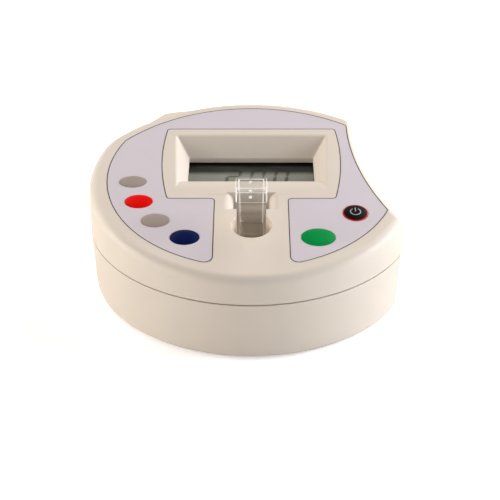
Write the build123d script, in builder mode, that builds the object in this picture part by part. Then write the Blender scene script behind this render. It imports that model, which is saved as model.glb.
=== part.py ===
from build123d import *
from math import cos, radians, sin, tan
import os

# Cell density meter: a palm-sized bench instrument with a round body, a scooped right side and a sloping top.
# Sizes are in millimetres. The body's own axis is the centre of its round outline, seen from above.

# Outline of the body, seen from above
body_radius = 75.7
rear_radius = 87.0
rear_centre_y = -22.4
scoop_radius = 151.4
scoop_centre_x = 202.2
scoop_centre_y = 39.0
body_corner_radius = 5.0
junction_radius = 30.0

# Rear housing for the sockets, off to the left of the body's axis
housing_width = 89.5
housing_centre_x = -12.75
housing_reach = 103.2
housing_back_radius = 107.0
housing_chamfer_width = 10.4
housing_chamfer_depth = 16.5
housing_corner_radius = 4.0
housing_height = 39.5
housing_edge_radius = 3.0

# Heights
foot_proud = 1.0
parting_height = 28.5
seam_gap = 0.6
face_height = 52.05
face_tilt = 7.84

# Moulded walls
wall = 2.5
lower_draft = 2.2
upper_draft = 0.5
rim_radius = 4.5
base_edge_radius = 1.5
lip_thickness = 1.1
lip_height = 2.0
lip_clearance = 0.1

# Printed overlay, let into the top face
overlay_thickness = 0.5
overlay_gap = 0.35
overlay_margin = 8.8
overlay_rear_margin = 8.0
overlay_scoop_margin = 4.3
overlay_corner_radius = 1.8
overlay_front_corner_radius = 3.4
bezel_back_y = 38.6
bezel_front_y = -18.6
bezel_back_half_width = 41.0
bezel_mid_half_width = 42.6
bezel_mid_y = 18.0
bezel_front_half_width = 38.6
tongue_half_width = 17.0

# Display recess: a window that is nearly level, three sloping sides and a rounded sill in front
display_tilt = 3.5
window_half_width = 30.2
window_back_y = 27.4
window_front_y = 4.6
recess_depth = 8.1
recess_slope = 33.5
recess_reveal = 2.4
recess_edge_radius = 2.0
recess_crease_radius = 0.8
sill_radius = 20.0
sill_start_y = -11.8
sill_lift = 0.03
sill_wall = 7.0
window_overlap = 2.6
window_thickness = 1.0
glass_thickness = 2.8
glass_margin = 1.6
frame_border = 2.4
display_stack_clearance = 0.1
window_flange = 4.9
recess_wall = 3.2
display_post_out = 7.2
display_post_beyond = 4.6
board_border = 0.7
board_corner_radius = 2.0
board_thickness = 1.6

# Cuvette well: a round well, a neck and a flared finger pocket behind it
well_radius = 9.1
well_y = -38.1
neck_half_width = 6.7
pocket_half_width = 8.2
pocket_front_y = -26.5
pocket_back_y = -13.8
flare_radius = 4.5
flare_wall = 2.0
well_floor_height = 38.0
well_wall = 2.0

# Cuvette of the standard outside size, with a narrow lower chamber
cuvette_width = 12.5
cuvette_height = 45.0
cuvette_bottom = 22.2
cuvette_corner_radius = 0.6
collar_width = 13.7
collar_height = 5.5
cuvette_cavity_width = 10.0
cuvette_cavity_depth = 14.4
chamber_width = 4.0
chamber_floor = 2.0

# Cell holder with its light path
holder_width = 32.0
holder_depth = 22.0
holder_clearance = 0.1
holder_top_clearance = 0.2
beam_height = 8.5
aperture_radius = 1.5
optic_clearance = 0.05
lens_radius = 3.0
lens_thickness = 2.0
lens_rim = 0.8
lens_seat = 2.15
lamp_radius = 2.5
lamp_flange_radius = 2.9
lamp_flange_thickness = 1.0
lamp_length = 5.0
lamp_tip_flat = 0.3
filter_radius = 4.0
filter_thickness = 2.5
filter_seat = 1.65
detector_window_radius = 2.6
detector_window_depth = 0.4
optic_board_width = 18.0
optic_board_height = 13.0
spring_groove_width = 6.0
spring_groove_depth = 1.4
spring_width = 5.0
spring_length = 12.0
spring_thickness = 0.3
spring_bow = 1.0
holder_screw_x = 12.0
holder_screw_y = 7.5

# Keys: oval caps on one circle about the body's axis, at these angles from its right
key_margin = 11.7
recall_angle = 185.8
reset_angle = 202.1
memory_angle = 219.1
blank_angle = 238.0
sample_angle = 302.1
power_angle = 327.8
recall_width = 12.4
recall_height = 8.8
reset_width = 12.6
reset_height = 10.0
memory_width = 12.5
memory_height = 9.7
blank_width = 12.9
blank_height = 10.5
sample_width = 15.0
sample_height = 12.2
power_width = 11.3
power_height = 11.8
key_clearance = 0.2
key_proud = 0.9
key_dome_radius = 38.0
key_edge_radius = 0.25
key_cap_depth = 0.9
key_travel = 0.6
key_bottom_clearance = 0.15
stem_radius = 2.0
stem_clearance = 0.3
plunger_radius = 1.7
plunger_reach = 1.0
plunger_clearance = 0.1
switch_width = 6.0
switch_height = 3.5
switch_gap = 0.1
key_board_inner_margin = 6.7
key_board_outer_margin = 6.3
key_board_end_angle = 8.0
sample_end_angle = 12.0
sample_post_angle = 7.8

# Fasteners and the posts that they go into
screw_radius = 1.5
screw_fit = 0.05
screw_hole_radius = 1.7
screw_head_radius = 2.9
screw_head_height = 2.0
screw_hex_radius = 1.4
screw_hex_depth = 1.2
small_screw_radius = 1.0
small_screw_head_radius = 1.9
small_screw_head_height = 1.3
small_screw_length = 5.0
small_post_radius = 2.6
board_hole_clearance = 0.2
board_post_radius = 3.0
pilot_spare = 0.5
post_radius = 3.6
boss_radius = 4.5
case_screw_length = 16.0
case_screw_seat = 20.0
case_counterbore_radius = 3.1
front_post_margin = 8.7
front_post_angle = 38.0
left_post_margin = 6.7
left_post_angle = 132.3
right_post_margin = 7.5
right_post_angle = 57.0

# Feet
foot_radius = 6.0
foot_thickness = 2.0
foot_clearance = 0.1
foot_edge_radius = 0.5
foot_margin = 15.7
foot_angle = 40.0
back_foot_y = 84.0
back_foot_spread = 30.0

# Main board
main_board_half_width = 40.0
main_board_front_y = -53.0
main_board_back_y = 20.0
main_board_corner = 8.0
main_board_height = 12.0
main_post_x = 34.0
main_post_front_y = -44.0
main_post_back_y = 14.0
chip_width = 12.0
chip_height = 2.2
chip_spread = 22.0
chip_front_y = -14.0
chip_back_y = 4.0

# Battery pack of round cells, with its strap
cell_radius = 7.2
cell_length = 50.0
cell_count = 4
cell_pitch = 14.6
battery_front_y = 28.0
battery_rib = 1.6
battery_rib_height = 5.0
battery_clearance = 0.3
strap_width = 12.0
strap_thickness = 1.0
strap_clearance = 0.2
strap_foot_length = 7.0
strap_post_out = 2.5
strap_post_height = 6.0

# Sockets in the rear housing
bay_half_width = 28.0
bay_bottom = 7.0
bay_top = 26.5
bay_depth = 5.0
bay_corner_radius = 2.0
port_offset_x = -9.0
port_flange_width = 30.8
port_flange_height = 12.5
port_flange_thickness = 0.8
port_body_depth = 11.0
port_body_width = 18.6
port_nose_width = 16.9
port_nose_height = 8.3
port_nose_length = 5.6
port_nose_slope = 10.0
port_nose_radius = 2.2
port_shell = 0.5
port_pin_radius = 0.5
port_pin_length = 4.6
port_pin_pitch = 2.77
port_row_pitch = 2.84
port_screw_spacing = 25.0
port_screw_radius = 2.3
port_screw_length = 4.8
port_thread_radius = 1.3
port_long_row = 5
port_clearance = 0.3
jack_offset_x = 18.0
jack_nose_radius = 4.0
jack_body_width = 9.0
jack_body_height = 10.5
jack_body_depth = 13.0
jack_bore_radius = 2.85
jack_bore_depth = 9.0
jack_pin_radius = 1.0
socket_board_gap = 0.4
socket_post_x = 26.0
socket_post_margin = 7.7
socket_board_width = 58.0
socket_board_depth = 14.0
socket_board_top = 10.6

# Values worked out from the sizes above
overlay_radius = body_radius - overlay_margin
overlay_rear_radius = rear_radius - overlay_rear_margin
overlay_scoop_radius = scoop_radius + overlay_scoop_margin
key_circle_radius = overlay_radius - key_margin
key_board_inner_radius = key_circle_radius - key_board_inner_margin
key_board_outer_radius = key_circle_radius + key_board_outer_margin
front_post_radius = body_radius - front_post_margin
foot_circle_radius = body_radius - foot_margin
small = 0.01
tall = face_height + body_radius
tilt = radians(face_tilt)
shell_bottom = foot_proud
floor_top = shell_bottom + wall
upper_bottom = parting_height + seam_gap
lip_top = parting_height + lip_height
lower_inset = wall + (parting_height - floor_top) * tan(radians(lower_draft))
window_mid_y = (window_back_y + window_front_y) / 2
window_half_depth = (window_back_y - window_front_y) / 2
recess_floor_height = face_height + window_mid_y * tan(tilt) - recess_depth
recess_reach = 2 * recess_depth
recess_inset = recess_depth * tan(radians(recess_slope))
recess_half_width = window_half_width + recess_inset
sill_y = sill_start_y * cos(tilt) + (sill_radius - sill_lift) * sin(tilt)
sill_height = face_height + sill_start_y * sin(tilt) - (sill_radius - sill_lift) * cos(tilt)
glass_drop = recess_reveal + window_thickness + display_stack_clearance
display_board_drop = glass_drop + glass_thickness + display_stack_clearance
main_board_top = main_board_height + board_thickness
beam_level = cuvette_bottom + beam_height
well_bottom = well_floor_height - well_wall
holder_top = well_bottom - holder_top_clearance
holder_hole = cuvette_width / 2 + holder_clearance
key_well_depth = key_cap_depth + key_travel + key_bottom_clearance
stem_drop = wall + switch_gap
switch_top_drop = stem_drop + key_travel + key_bottom_clearance
key_board_drop = switch_top_drop + switch_height
plunger_drop = switch_top_drop + plunger_reach
switch_bore_depth = plunger_reach + key_travel + key_bottom_clearance
panel_y = housing_reach - bay_depth
panel_inner_y = panel_y - wall
socket_post_y = panel_inner_y - socket_post_margin
socket_level = socket_board_top + port_flange_height / 2
port_x = housing_centre_x + port_offset_x
jack_level = socket_board_top + jack_body_height / 2
jack_x = housing_centre_x + jack_offset_x
cell_level = floor_top + cell_radius
battery_half_width = (cell_count - 1) * cell_pitch / 2 + cell_radius
flare_reach = pocket_half_width + flare_radius
glass_half_width = window_half_width + glass_margin
glass_half_depth = window_half_depth + glass_margin
CENTRE = Align.CENTER
LOW = Align.MIN
HIGH = Align.MAX


def body_shape(inset=0.0):
    """Body seen from above: two round arcs and, on its right, the scoop."""
    with BuildSketch() as shape:
        Circle(body_radius - inset)
        with Locations((0, rear_centre_y)):
            Circle(rear_radius - inset, mode=Mode.INTERSECT)
        with Locations((scoop_centre_x, scoop_centre_y)):
            Circle(scoop_radius + inset, mode=Mode.SUBTRACT)
        fillet(shape.vertices().sort_by(Axis.X)[0], junction_radius)
        fillet(shape.vertices().sort_by(Axis.Y)[0], body_corner_radius - inset)
        fillet(shape.vertices().sort_by(Axis.Y)[-1], body_corner_radius - inset)
    return shape.sketch


def housing_shape(inset=0.0):
    """Rear housing seen from above: straight sides, two long chamfers and a slightly round back."""
    side = housing_width / 2
    corner = side - housing_chamfer_width
    back_sag = housing_back_radius - (housing_back_radius**2 - corner**2) ** 0.5
    corner_y = housing_reach - back_sag
    chamfer_y = corner_y - housing_chamfer_depth
    left_side = [(-corner, corner_y), (-side, chamfer_y), (-side, 0)]
    right_side = [(side, 0), (side, chamfer_y), (corner, corner_y)]
    with BuildSketch() as shape:
        with BuildLine(Location((housing_centre_x, 0))):
            Polyline(*left_side, *right_side)
            ThreePointArc((corner, corner_y), (0, housing_reach), (-corner, corner_y))
        make_face()
        fillet(shape.vertices().filter_by(lambda vertex: vertex.Y > small), housing_corner_radius)
        if inset:
            offset(amount=-inset)
    return shape.sketch


def footprint_shape(inset=0.0):
    """Body and rear housing together, where the two shells meet."""
    with BuildSketch() as shape:
        add(body_shape(inset))
        add(housing_shape(inset))
    return shape.sketch


def bezel_shape(grow=0.0):
    """Opening of the overlay round the display, with bowed sides, and the tongue that runs to the front."""
    back = bezel_back_y - grow
    front = bezel_front_y + grow
    back_x = bezel_back_half_width - grow
    mid_x = bezel_mid_half_width - grow
    front_x = bezel_front_half_width - grow
    with BuildSketch() as shape:
        with BuildLine():
            Line((-front_x, front), (front_x, front))
            ThreePointArc((front_x, front), (mid_x, bezel_mid_y), (back_x, back))
            Line((back_x, back), (-back_x, back))
            ThreePointArc((-back_x, back), (-mid_x, bezel_mid_y), (-front_x, front))
        make_face()
        with Locations((0, front)):
            Rectangle(2 * (tongue_half_width - grow), body_radius, align=(CENTRE, HIGH))
    return shape.sketch


def overlay_shape(grow=0.0):
    """Overlay seen from above: the body's arcs moved in, less the bezel and the tongue."""
    with BuildSketch() as shape:
        Circle(overlay_radius + grow)
        with Locations((0, rear_centre_y)):
            Circle(overlay_rear_radius + grow, mode=Mode.INTERSECT)
        with Locations((scoop_centre_x, scoop_centre_y)):
            Circle(overlay_scoop_radius - grow, mode=Mode.SUBTRACT)
        add(bezel_shape(grow), mode=Mode.SUBTRACT)
        front_corners = shape.vertices().sort_by(Axis.Y)[:2]
        fillet(front_corners, overlay_front_corner_radius)
        kept = shape.vertices().filter_by(lambda vertex: vertex.Y > bezel_front_y - overlay_corner_radius)
        fillet(kept, overlay_corner_radius)
    return shape.sketch


def well_shape(grow=0.0):
    """Round well, neck and finger pocket, seen from above."""
    with BuildSketch() as shape:
        with Locations((0, well_y)):
            Circle(well_radius + grow)
            Rectangle(2 * (neck_half_width + grow), pocket_back_y - well_y + grow, align=(CENTRE, LOW))
        with Locations((0, pocket_front_y - grow)):
            pocket_depth = pocket_back_y - pocket_front_y + 2 * grow
            Rectangle(2 * (pocket_half_width + grow), pocket_depth, align=(CENTRE, LOW))
    return shape.sketch


footprint_centre = footprint_shape().bounding_box().center()
axis_x = -footprint_centre.X
axis_y = -footprint_centre.Y
level = Plane(origin=(axis_x, axis_y, 0))
face = Plane(origin=(axis_x, axis_y, face_height), x_dir=(1, 0, 0), z_dir=(0, -sin(tilt), cos(tilt)))
window_middle = (axis_x, axis_y + window_mid_y, recess_floor_height)
window_normal = (0, -sin(radians(display_tilt)), cos(radians(display_tilt)))
display = Plane(origin=window_middle, x_dir=(1, 0, 0), z_dir=window_normal)


def facing_back(y, height, x=0.0):
    """Upright plane that faces the back, its own x running to the left and its own y upwards."""
    return Plane(origin=(axis_x + x, axis_y + y, height), x_dir=(-1, 0, 0), z_dir=(0, 1, 0))


def facing_right(x, y, height):
    """Upright plane that faces right, its own x running to the back and its own y upwards."""
    return Plane(origin=(axis_x + x, axis_y + y, height), x_dir=(0, 1, 0), z_dir=(1, 0, 0))


def on_face(x, y):
    """Point of the sloping top face, from its own coordinates."""
    return face.from_local_coords(Vector(x, y, 0))


def on_circle(radius, angle):
    """Point on a circle about the body's axis."""
    return (radius * cos(radians(angle)), radius * sin(radians(angle)))


def key_plane(angle):
    """Top face's plane, moved to the key at this angle."""
    x, y = on_circle(key_circle_radius, angle)
    return Plane(origin=on_face(x, y / cos(tilt)), x_dir=(1, 0, 0), z_dir=face.z_dir)


def recess_block(grow, front_y):
    """Block over the window that widens upwards, from this front to the window's back, grown by a wall."""
    with BuildPart() as block:
        with BuildSketch(display):
            with Locations((0, window_half_depth + grow)):
                block_depth = window_back_y + grow - front_y
                Rectangle(2 * (window_half_width + grow), block_depth, align=(CENTRE, HIGH))
        extrude(amount=recess_reach, taper=-recess_slope)
    return block.part


def write(piece, name):
    """Label a finished piece and write it under its own name."""
    piece.part.label = name
    export_step(piece.part, f"parts/{name}.step")


os.makedirs("parts", exist_ok=True)

keys = {
    "recall_key": (recall_angle, recall_width, recall_height),
    "reset_key": (reset_angle, reset_width, reset_height),
    "memory_key": (memory_angle, memory_width, memory_height),
    "blank_key": (blank_angle, blank_width, blank_height),
    "sample_key": (sample_angle, sample_width, sample_height),
    "power_key": (power_angle, power_width, power_height),
}
key_angles = [angle for angle, width, height in keys.values()]
front_posts = [on_circle(front_post_radius, angle) for angle in (180 + front_post_angle, -front_post_angle)]
left_post_x, left_post_y = on_circle(rear_radius - left_post_margin, left_post_angle)
right_post_x, right_post_y = on_circle(rear_radius - right_post_margin, right_post_angle)
rear_posts = [(left_post_x, rear_centre_y + left_post_y), (right_post_x, rear_centre_y + right_post_y)]
case_posts = front_posts + rear_posts
left_board_angles = (recall_angle - key_board_end_angle, blank_angle + key_board_end_angle)
right_board_angles = (sample_angle - sample_end_angle, power_angle + key_board_end_angle)
key_post_angles = [(recall_angle + reset_angle) / 2, (memory_angle + blank_angle) / 2]
key_post_angles += [sample_angle - sample_post_angle, (sample_angle + power_angle) / 2]
key_posts = [on_circle(key_circle_radius, angle) for angle in key_post_angles]
display_post_x = window_half_width + display_post_out
display_post_y = window_half_depth + display_post_beyond
display_posts = [(x, y) for x in (-display_post_x, display_post_x) for y in (-display_post_y, display_post_y)]
main_posts = [(x, y) for x in (-main_post_x, main_post_x) for y in (main_post_front_y, main_post_back_y)]
socket_posts = [(housing_centre_x + x, socket_post_y) for x in (-socket_post_x, socket_post_x)]
front_feet = [on_circle(foot_circle_radius, -90 - foot_angle), on_circle(foot_circle_radius, foot_angle - 90)]
back_feet = [(housing_centre_x + x, back_foot_y) for x in (-back_foot_spread, back_foot_spread)]
feet = front_feet + back_feet
holder_screw_ys = (well_y - holder_screw_y, well_y + holder_screw_y)
holder_screw_spots = [(x, y) for x in (-holder_screw_x, holder_screw_x) for y in holder_screw_ys]
chip_spots = [(-chip_spread, chip_front_y), (0, chip_back_y), (chip_spread, chip_front_y)]
strap_post_x = battery_half_width + battery_clearance + battery_rib + strap_post_out
strap_mid_y = battery_front_y + cell_length / 2
strap_spots = [(housing_centre_x + x, strap_mid_y) for x in (-strap_post_x, strap_post_x)]
strap_foot_level = floor_top + strap_post_height

# Lower shell: a tray with feet recesses, screw bosses, board posts, battery ribs and the socket bay
with BuildPart() as port_cut:
    with BuildSketch(facing_back(panel_y, socket_level, port_x)):
        Trapezoid(
            port_nose_width + 2 * port_clearance,
            port_nose_height + 2 * port_clearance,
            90 - port_nose_slope,
            rotation=180,
        )
        with GridLocations(port_screw_spacing, 0, 2, 1):
            Circle(port_screw_radius + port_clearance)
    extrude(amount=-2 * wall)
    with BuildSketch(facing_back(panel_y, jack_level, jack_x)):
        Circle(jack_nose_radius + port_clearance)
    extrude(amount=-2 * wall)

with BuildPart() as socket_pad:
    with BuildSketch(level.offset(parting_height)):
        add(housing_shape())
    extrude(amount=-(parting_height - shell_bottom), taper=lower_draft)
    split(bisect_by=facing_back(panel_inner_y, 0), keep=Keep.TOP)

with BuildPart() as lower_shell:
    for shape in (body_shape(), housing_shape()):
        with BuildSketch(level.offset(parting_height)):
            add(shape)
        extrude(amount=-(parting_height - shell_bottom), taper=lower_draft)
    fillet(lower_shell.faces().sort_by(Axis.Z)[0].outer_wire().edges(), base_edge_radius)
    for shape in (body_shape(lower_inset), housing_shape(lower_inset)):
        with BuildSketch(level.offset(parting_height)):
            add(shape)
        extrude(amount=-(parting_height - floor_top), mode=Mode.SUBTRACT)
    add(socket_pad.part)
    with BuildSketch(level.offset(parting_height - small)):
        add(footprint_shape(wall - lip_thickness))
        add(footprint_shape(wall), mode=Mode.SUBTRACT)
    extrude(amount=lip_height + small)
    with BuildSketch(level.offset(floor_top - small)):
        with Locations(*case_posts):
            Circle(boss_radius)
    extrude(amount=parting_height - floor_top)
    with BuildSketch(level.offset(floor_top - small)):
        with Locations(*main_posts):
            Circle(board_post_radius)
    extrude(amount=main_board_height - floor_top + small)
    with BuildSketch(level.offset(floor_top - small)):
        with Locations(*socket_posts):
            Circle(board_post_radius)
    extrude(amount=socket_board_top - board_thickness - floor_top + small)
    with BuildSketch(level.offset(floor_top - small)):
        with Locations((housing_centre_x, battery_front_y + cell_length / 2)):
            rib_half_width = battery_half_width + battery_clearance
            Rectangle(2 * (rib_half_width + battery_rib), cell_length + 2 * (battery_clearance + battery_rib))
            Rectangle(2 * rib_half_width, cell_length + 2 * battery_clearance, mode=Mode.SUBTRACT)
    extrude(amount=battery_rib_height + small)
    with BuildSketch(level.offset(floor_top - small)):
        with Locations(*strap_spots):
            Circle(board_post_radius)
        with Locations((housing_centre_x, strap_mid_y)):
            Rectangle(2 * rib_half_width, cell_length, mode=Mode.SUBTRACT)
    extrude(amount=strap_post_height + small)
    with BuildSketch(facing_back(panel_y, (bay_bottom + bay_top) / 2, housing_centre_x)):
        RectangleRounded(2 * bay_half_width, bay_top - bay_bottom, bay_corner_radius)
    extrude(amount=2 * bay_depth, mode=Mode.SUBTRACT)
    add(port_cut.part, mode=Mode.SUBTRACT)
    with BuildSketch(level.offset(shell_bottom)):
        with Locations(*feet):
            Circle(foot_radius + foot_clearance)
    extrude(amount=foot_thickness - foot_proud, mode=Mode.SUBTRACT)
    with BuildSketch(level.offset(shell_bottom)):
        with Locations(*case_posts):
            Circle(case_counterbore_radius)
    extrude(amount=case_screw_seat - shell_bottom, mode=Mode.SUBTRACT)
    with BuildSketch(level.offset(shell_bottom)):
        with Locations(*case_posts):
            Circle(screw_hole_radius)
    extrude(amount=tall, mode=Mode.SUBTRACT)
    with BuildSketch(level.offset(floor_top + pilot_spare)):
        with Locations(*main_posts, *socket_posts, *strap_spots):
            Circle(small_screw_radius + screw_fit)
    extrude(amount=main_board_height, mode=Mode.SUBTRACT)
write(lower_shell, "lower_shell")

# Upper shell: the body's sloping cover and the low cover of the rear housing, moulded in one
with BuildPart() as housing_cover:
    with BuildSketch(level.offset(upper_bottom)):
        add(housing_shape())
    extrude(amount=housing_height - upper_bottom, taper=upper_draft)
    fillet(housing_cover.faces().sort_by(Axis.Z)[-1].edges(), housing_edge_radius)

with BuildPart() as upper_hollow:
    with BuildSketch(level.offset(upper_bottom)):
        add(body_shape(wall))
    extrude(amount=tall, taper=upper_draft)
    split(bisect_by=face.offset(-wall), keep=Keep.BOTTOM)
    with BuildSketch(level.offset(upper_bottom)):
        add(housing_shape(wall))
    extrude(amount=housing_height - wall - upper_bottom, taper=upper_draft)

with BuildPart() as overlay_pocket:
    with BuildSketch(level.offset(upper_bottom)):
        add(overlay_shape(overlay_gap))
    extrude(amount=tall)
    split(bisect_by=face.offset(-overlay_thickness), keep=Keep.TOP)

with BuildPart() as well_block:
    with BuildSketch(level.offset(well_bottom)):
        add(well_shape(well_wall))
    extrude(amount=tall)
    split(bisect_by=face.offset(-wall / 2), keep=Keep.BOTTOM)
    with BuildSketch(face.offset(-flare_radius - flare_wall)):
        with Locations((0, (pocket_front_y - flare_wall) / cos(tilt))):
            flare_block_depth = (pocket_back_y - pocket_front_y) / cos(tilt) + 2 * flare_wall
            Rectangle(2 * (flare_reach + flare_wall), flare_block_depth, align=(CENTRE, LOW))
    extrude(amount=flare_radius + flare_wall - wall / 2)

with BuildPart() as flare_cut:
    with BuildSketch(Plane(origin=on_face(0, 0), x_dir=(1, 0, 0), z_dir=-face.y_dir)):
        Rectangle(2 * flare_reach, 2 * flare_radius)
        with Locations((-flare_reach, -flare_radius), (flare_reach, -flare_radius)):
            Circle(flare_radius, mode=Mode.SUBTRACT)
    extrude(amount=-well_y)
    with BuildSketch(level.offset(parting_height)):
        with Locations((0, pocket_front_y)):
            Rectangle(2 * flare_reach, pocket_back_y - pocket_front_y, align=(CENTRE, LOW))
    extrude(amount=tall, mode=Mode.INTERSECT)

with BuildPart() as case_post_block:
    with BuildSketch(level.offset(parting_height)):
        with Locations(*case_posts):
            Circle(post_radius)
    extrude(amount=tall)
    split(bisect_by=face.offset(-wall / 2), keep=Keep.BOTTOM)

with BuildPart() as recess_case:
    add(recess_block(recess_wall, window_front_y - sill_wall))
    with BuildSketch(display.offset(-display_board_drop)):
        with Locations(*display_posts):
            Circle(small_post_radius)
    extrude(amount=display_board_drop + recess_reach)
    split(bisect_by=face.offset(-wall / 2), keep=Keep.BOTTOM)
    with BuildSketch(display):
        Rectangle(2 * (window_half_width + window_flange), 2 * (window_half_depth + window_flange))
    extrude(amount=-recess_reveal)

recess_edge_spots = [on_face(0, window_back_y + recess_inset)]
recess_edge_spots += [on_face(x, window_mid_y) for x in (-recess_half_width, recess_half_width)]
crease_y = window_half_depth + recess_inset
crease_ends = [(x, crease_y, recess_depth) for x in (-recess_half_width, recess_half_width)]
recess_crease_spots = [display.from_local_coords(Vector(*end)) for end in crease_ends]

with BuildPart() as recess_cut:
    add(recess_block(0, sill_start_y))
    with BuildSketch(facing_right(0, sill_y, sill_height)):
        Circle(sill_radius)
    extrude(amount=sill_radius + window_half_width + recess_reach, both=True, mode=Mode.SUBTRACT)
    creases = [recess_cut.edges().sort_by_distance(spot)[0] for spot in recess_crease_spots]
    fillet(creases, recess_crease_radius)

with BuildPart() as upper_shell:
    with BuildSketch(level.offset(upper_bottom)):
        add(body_shape())
    extrude(amount=tall, taper=upper_draft)
    split(bisect_by=face, keep=Keep.BOTTOM)
    fillet(upper_shell.faces().filter_by(face).edges(), rim_radius)
    add(housing_cover.part)
    add(upper_hollow.part, mode=Mode.SUBTRACT)
    add(case_post_block.part)
    with BuildSketch(level.offset(upper_bottom)):
        add(footprint_shape(wall - lip_thickness - lip_clearance))
        with Locations(*case_posts):
            Circle(post_radius, mode=Mode.SUBTRACT)
    extrude(amount=lip_top + lip_clearance - upper_bottom, mode=Mode.SUBTRACT)
    add(well_block.part)
    add(recess_case.part)
    with BuildSketch(face.offset(-wall / 2)):
        with Locations(*key_posts):
            Circle(small_post_radius)
    extrude(amount=wall / 2 - key_board_drop)
    add(recess_cut.part, mode=Mode.SUBTRACT)
    fillet([upper_shell.edges().sort_by_distance(spot)[0] for spot in recess_edge_spots], recess_edge_radius)
    with BuildSketch(display.offset(small)):
        Rectangle(2 * window_half_width, 2 * window_half_depth)
    extrude(amount=-recess_reveal - 2 * small, mode=Mode.SUBTRACT)
    add(overlay_pocket.part, mode=Mode.SUBTRACT)
    with BuildSketch(level.offset(well_floor_height)):
        add(well_shape())
    extrude(amount=tall, mode=Mode.SUBTRACT)
    add(flare_cut.part, mode=Mode.SUBTRACT)
    with BuildSketch(level.offset(well_bottom)):
        with Locations((0, well_y)):
            Rectangle(2 * holder_hole, 2 * holder_hole)
    extrude(amount=well_wall, mode=Mode.SUBTRACT)
    for angle, width, height in keys.values():
        with BuildSketch(key_plane(angle)):
            Ellipse(width / 2 + key_clearance, height / 2 + key_clearance)
        extrude(amount=-key_well_depth, mode=Mode.SUBTRACT)
        with BuildSketch(key_plane(angle)):
            Circle(stem_radius + stem_clearance)
        extrude(amount=-2 * wall, mode=Mode.SUBTRACT)
    key_board_plane = face.offset(-key_board_drop)
    display_board_plane = display.offset(-display_board_drop)
    for board_plane, posts in ((key_board_plane, key_posts), (display_board_plane, display_posts)):
        with BuildSketch(board_plane):
            with Locations(*posts):
                Circle(small_screw_radius + screw_fit)
        extrude(amount=small_screw_length - board_thickness + pilot_spare, mode=Mode.SUBTRACT)
    with BuildSketch(level.offset(parting_height)):
        with Locations(*case_posts):
            Circle(screw_radius + screw_fit)
    extrude(amount=case_screw_seat + case_screw_length + pilot_spare - parting_height, mode=Mode.SUBTRACT)
write(upper_shell, "upper_shell")

# Printed overlay: one thin sheet that runs round three sides of the display
with BuildPart() as overlay_panel:
    with BuildSketch(level.offset(upper_bottom)):
        add(overlay_shape())
    extrude(amount=tall)
    split(bisect_by=face, keep=Keep.BOTTOM)
    split(bisect_by=face.offset(-overlay_thickness), keep=Keep.TOP)
    for angle, width, height in keys.values():
        with BuildSketch(key_plane(angle)):
            Ellipse(width / 2 + key_clearance, height / 2 + key_clearance)
        extrude(amount=-wall, mode=Mode.SUBTRACT)
write(overlay_panel, "overlay_panel")

# Keys: domed oval caps, each with a stem and the plunger that works its switch
for name, (angle, width, height) in keys.items():
    with BuildPart() as cap:
        with BuildSketch(Plane.XY.offset(-key_cap_depth)):
            Ellipse(width / 2, height / 2)
        extrude(amount=key_cap_depth + key_proud)
        with Locations((0, 0, key_proud - key_dome_radius)):
            Sphere(key_dome_radius, rotation=(90, 0, 0), mode=Mode.INTERSECT)
        fillet(cap.faces().sort_by(Axis.Z)[-1].edges(), key_edge_radius)
        with BuildSketch(Plane.XY.offset(-key_cap_depth)):
            Circle(stem_radius)
        extrude(amount=key_cap_depth - stem_drop)
        with BuildSketch(Plane.XY.offset(-stem_drop)):
            Circle(plunger_radius)
        extrude(amount=stem_drop - plunger_drop)
    with BuildPart() as key:
        with Locations(key_plane(angle).location):
            add(cap.part)
    write(key, name)

with BuildPart() as key_switches:
    for angle in key_angles:
        with BuildSketch(key_plane(angle).offset(-switch_top_drop)):
            Rectangle(switch_width, switch_width)
        extrude(amount=-switch_height)
        with BuildSketch(key_plane(angle).offset(-switch_top_drop)):
            Circle(plunger_radius + plunger_clearance)
        extrude(amount=-switch_bore_depth, mode=Mode.SUBTRACT)
write(key_switches, "key_switches")

# Key boards: two bent boards that follow the circle of keys
board_angles = {"key_board_left": left_board_angles, "key_board_right": right_board_angles}
for name, (start_angle, end_angle) in board_angles.items():
    middle_angle = (start_angle + end_angle) / 2
    with BuildPart() as key_board:
        with BuildSketch(face.offset(-key_board_drop)):
            with BuildLine():
                outer = ThreePointArc(
                    on_circle(key_board_outer_radius, start_angle),
                    on_circle(key_board_outer_radius, middle_angle),
                    on_circle(key_board_outer_radius, end_angle),
                )
                inner = ThreePointArc(
                    on_circle(key_board_inner_radius, start_angle),
                    on_circle(key_board_inner_radius, middle_angle),
                    on_circle(key_board_inner_radius, end_angle),
                )
                Line(outer @ 0, inner @ 0)
                Line(outer @ 1, inner @ 1)
            make_face()
            with Locations(*key_posts):
                Circle(small_screw_radius + board_hole_clearance, mode=Mode.SUBTRACT)
        extrude(amount=-board_thickness)
    write(key_board, name)

# Display: clear window, liquid-crystal glass in its frame, and the board behind it
with BuildPart() as display_window:
    with BuildSketch(display.offset(-recess_reveal)):
        Rectangle(2 * (window_half_width + window_overlap), 2 * (window_half_depth + window_overlap))
    extrude(amount=-window_thickness)
write(display_window, "display_window")

with BuildPart() as lcd_glass:
    with BuildSketch(display.offset(-glass_drop)):
        Rectangle(2 * glass_half_width, 2 * glass_half_depth)
    extrude(amount=-glass_thickness)
write(lcd_glass, "lcd_glass")

with BuildPart() as lcd_frame:
    with BuildSketch(display.offset(-recess_reveal - window_thickness)):
        frame_inner_width = glass_half_width + display_stack_clearance
        frame_inner_depth = glass_half_depth + display_stack_clearance
        Rectangle(2 * (frame_inner_width + frame_border), 2 * (frame_inner_depth + frame_border))
        Rectangle(2 * frame_inner_width, 2 * frame_inner_depth, mode=Mode.SUBTRACT)
    extrude(amount=recess_reveal + window_thickness - display_board_drop)
write(lcd_frame, "lcd_frame")

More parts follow.
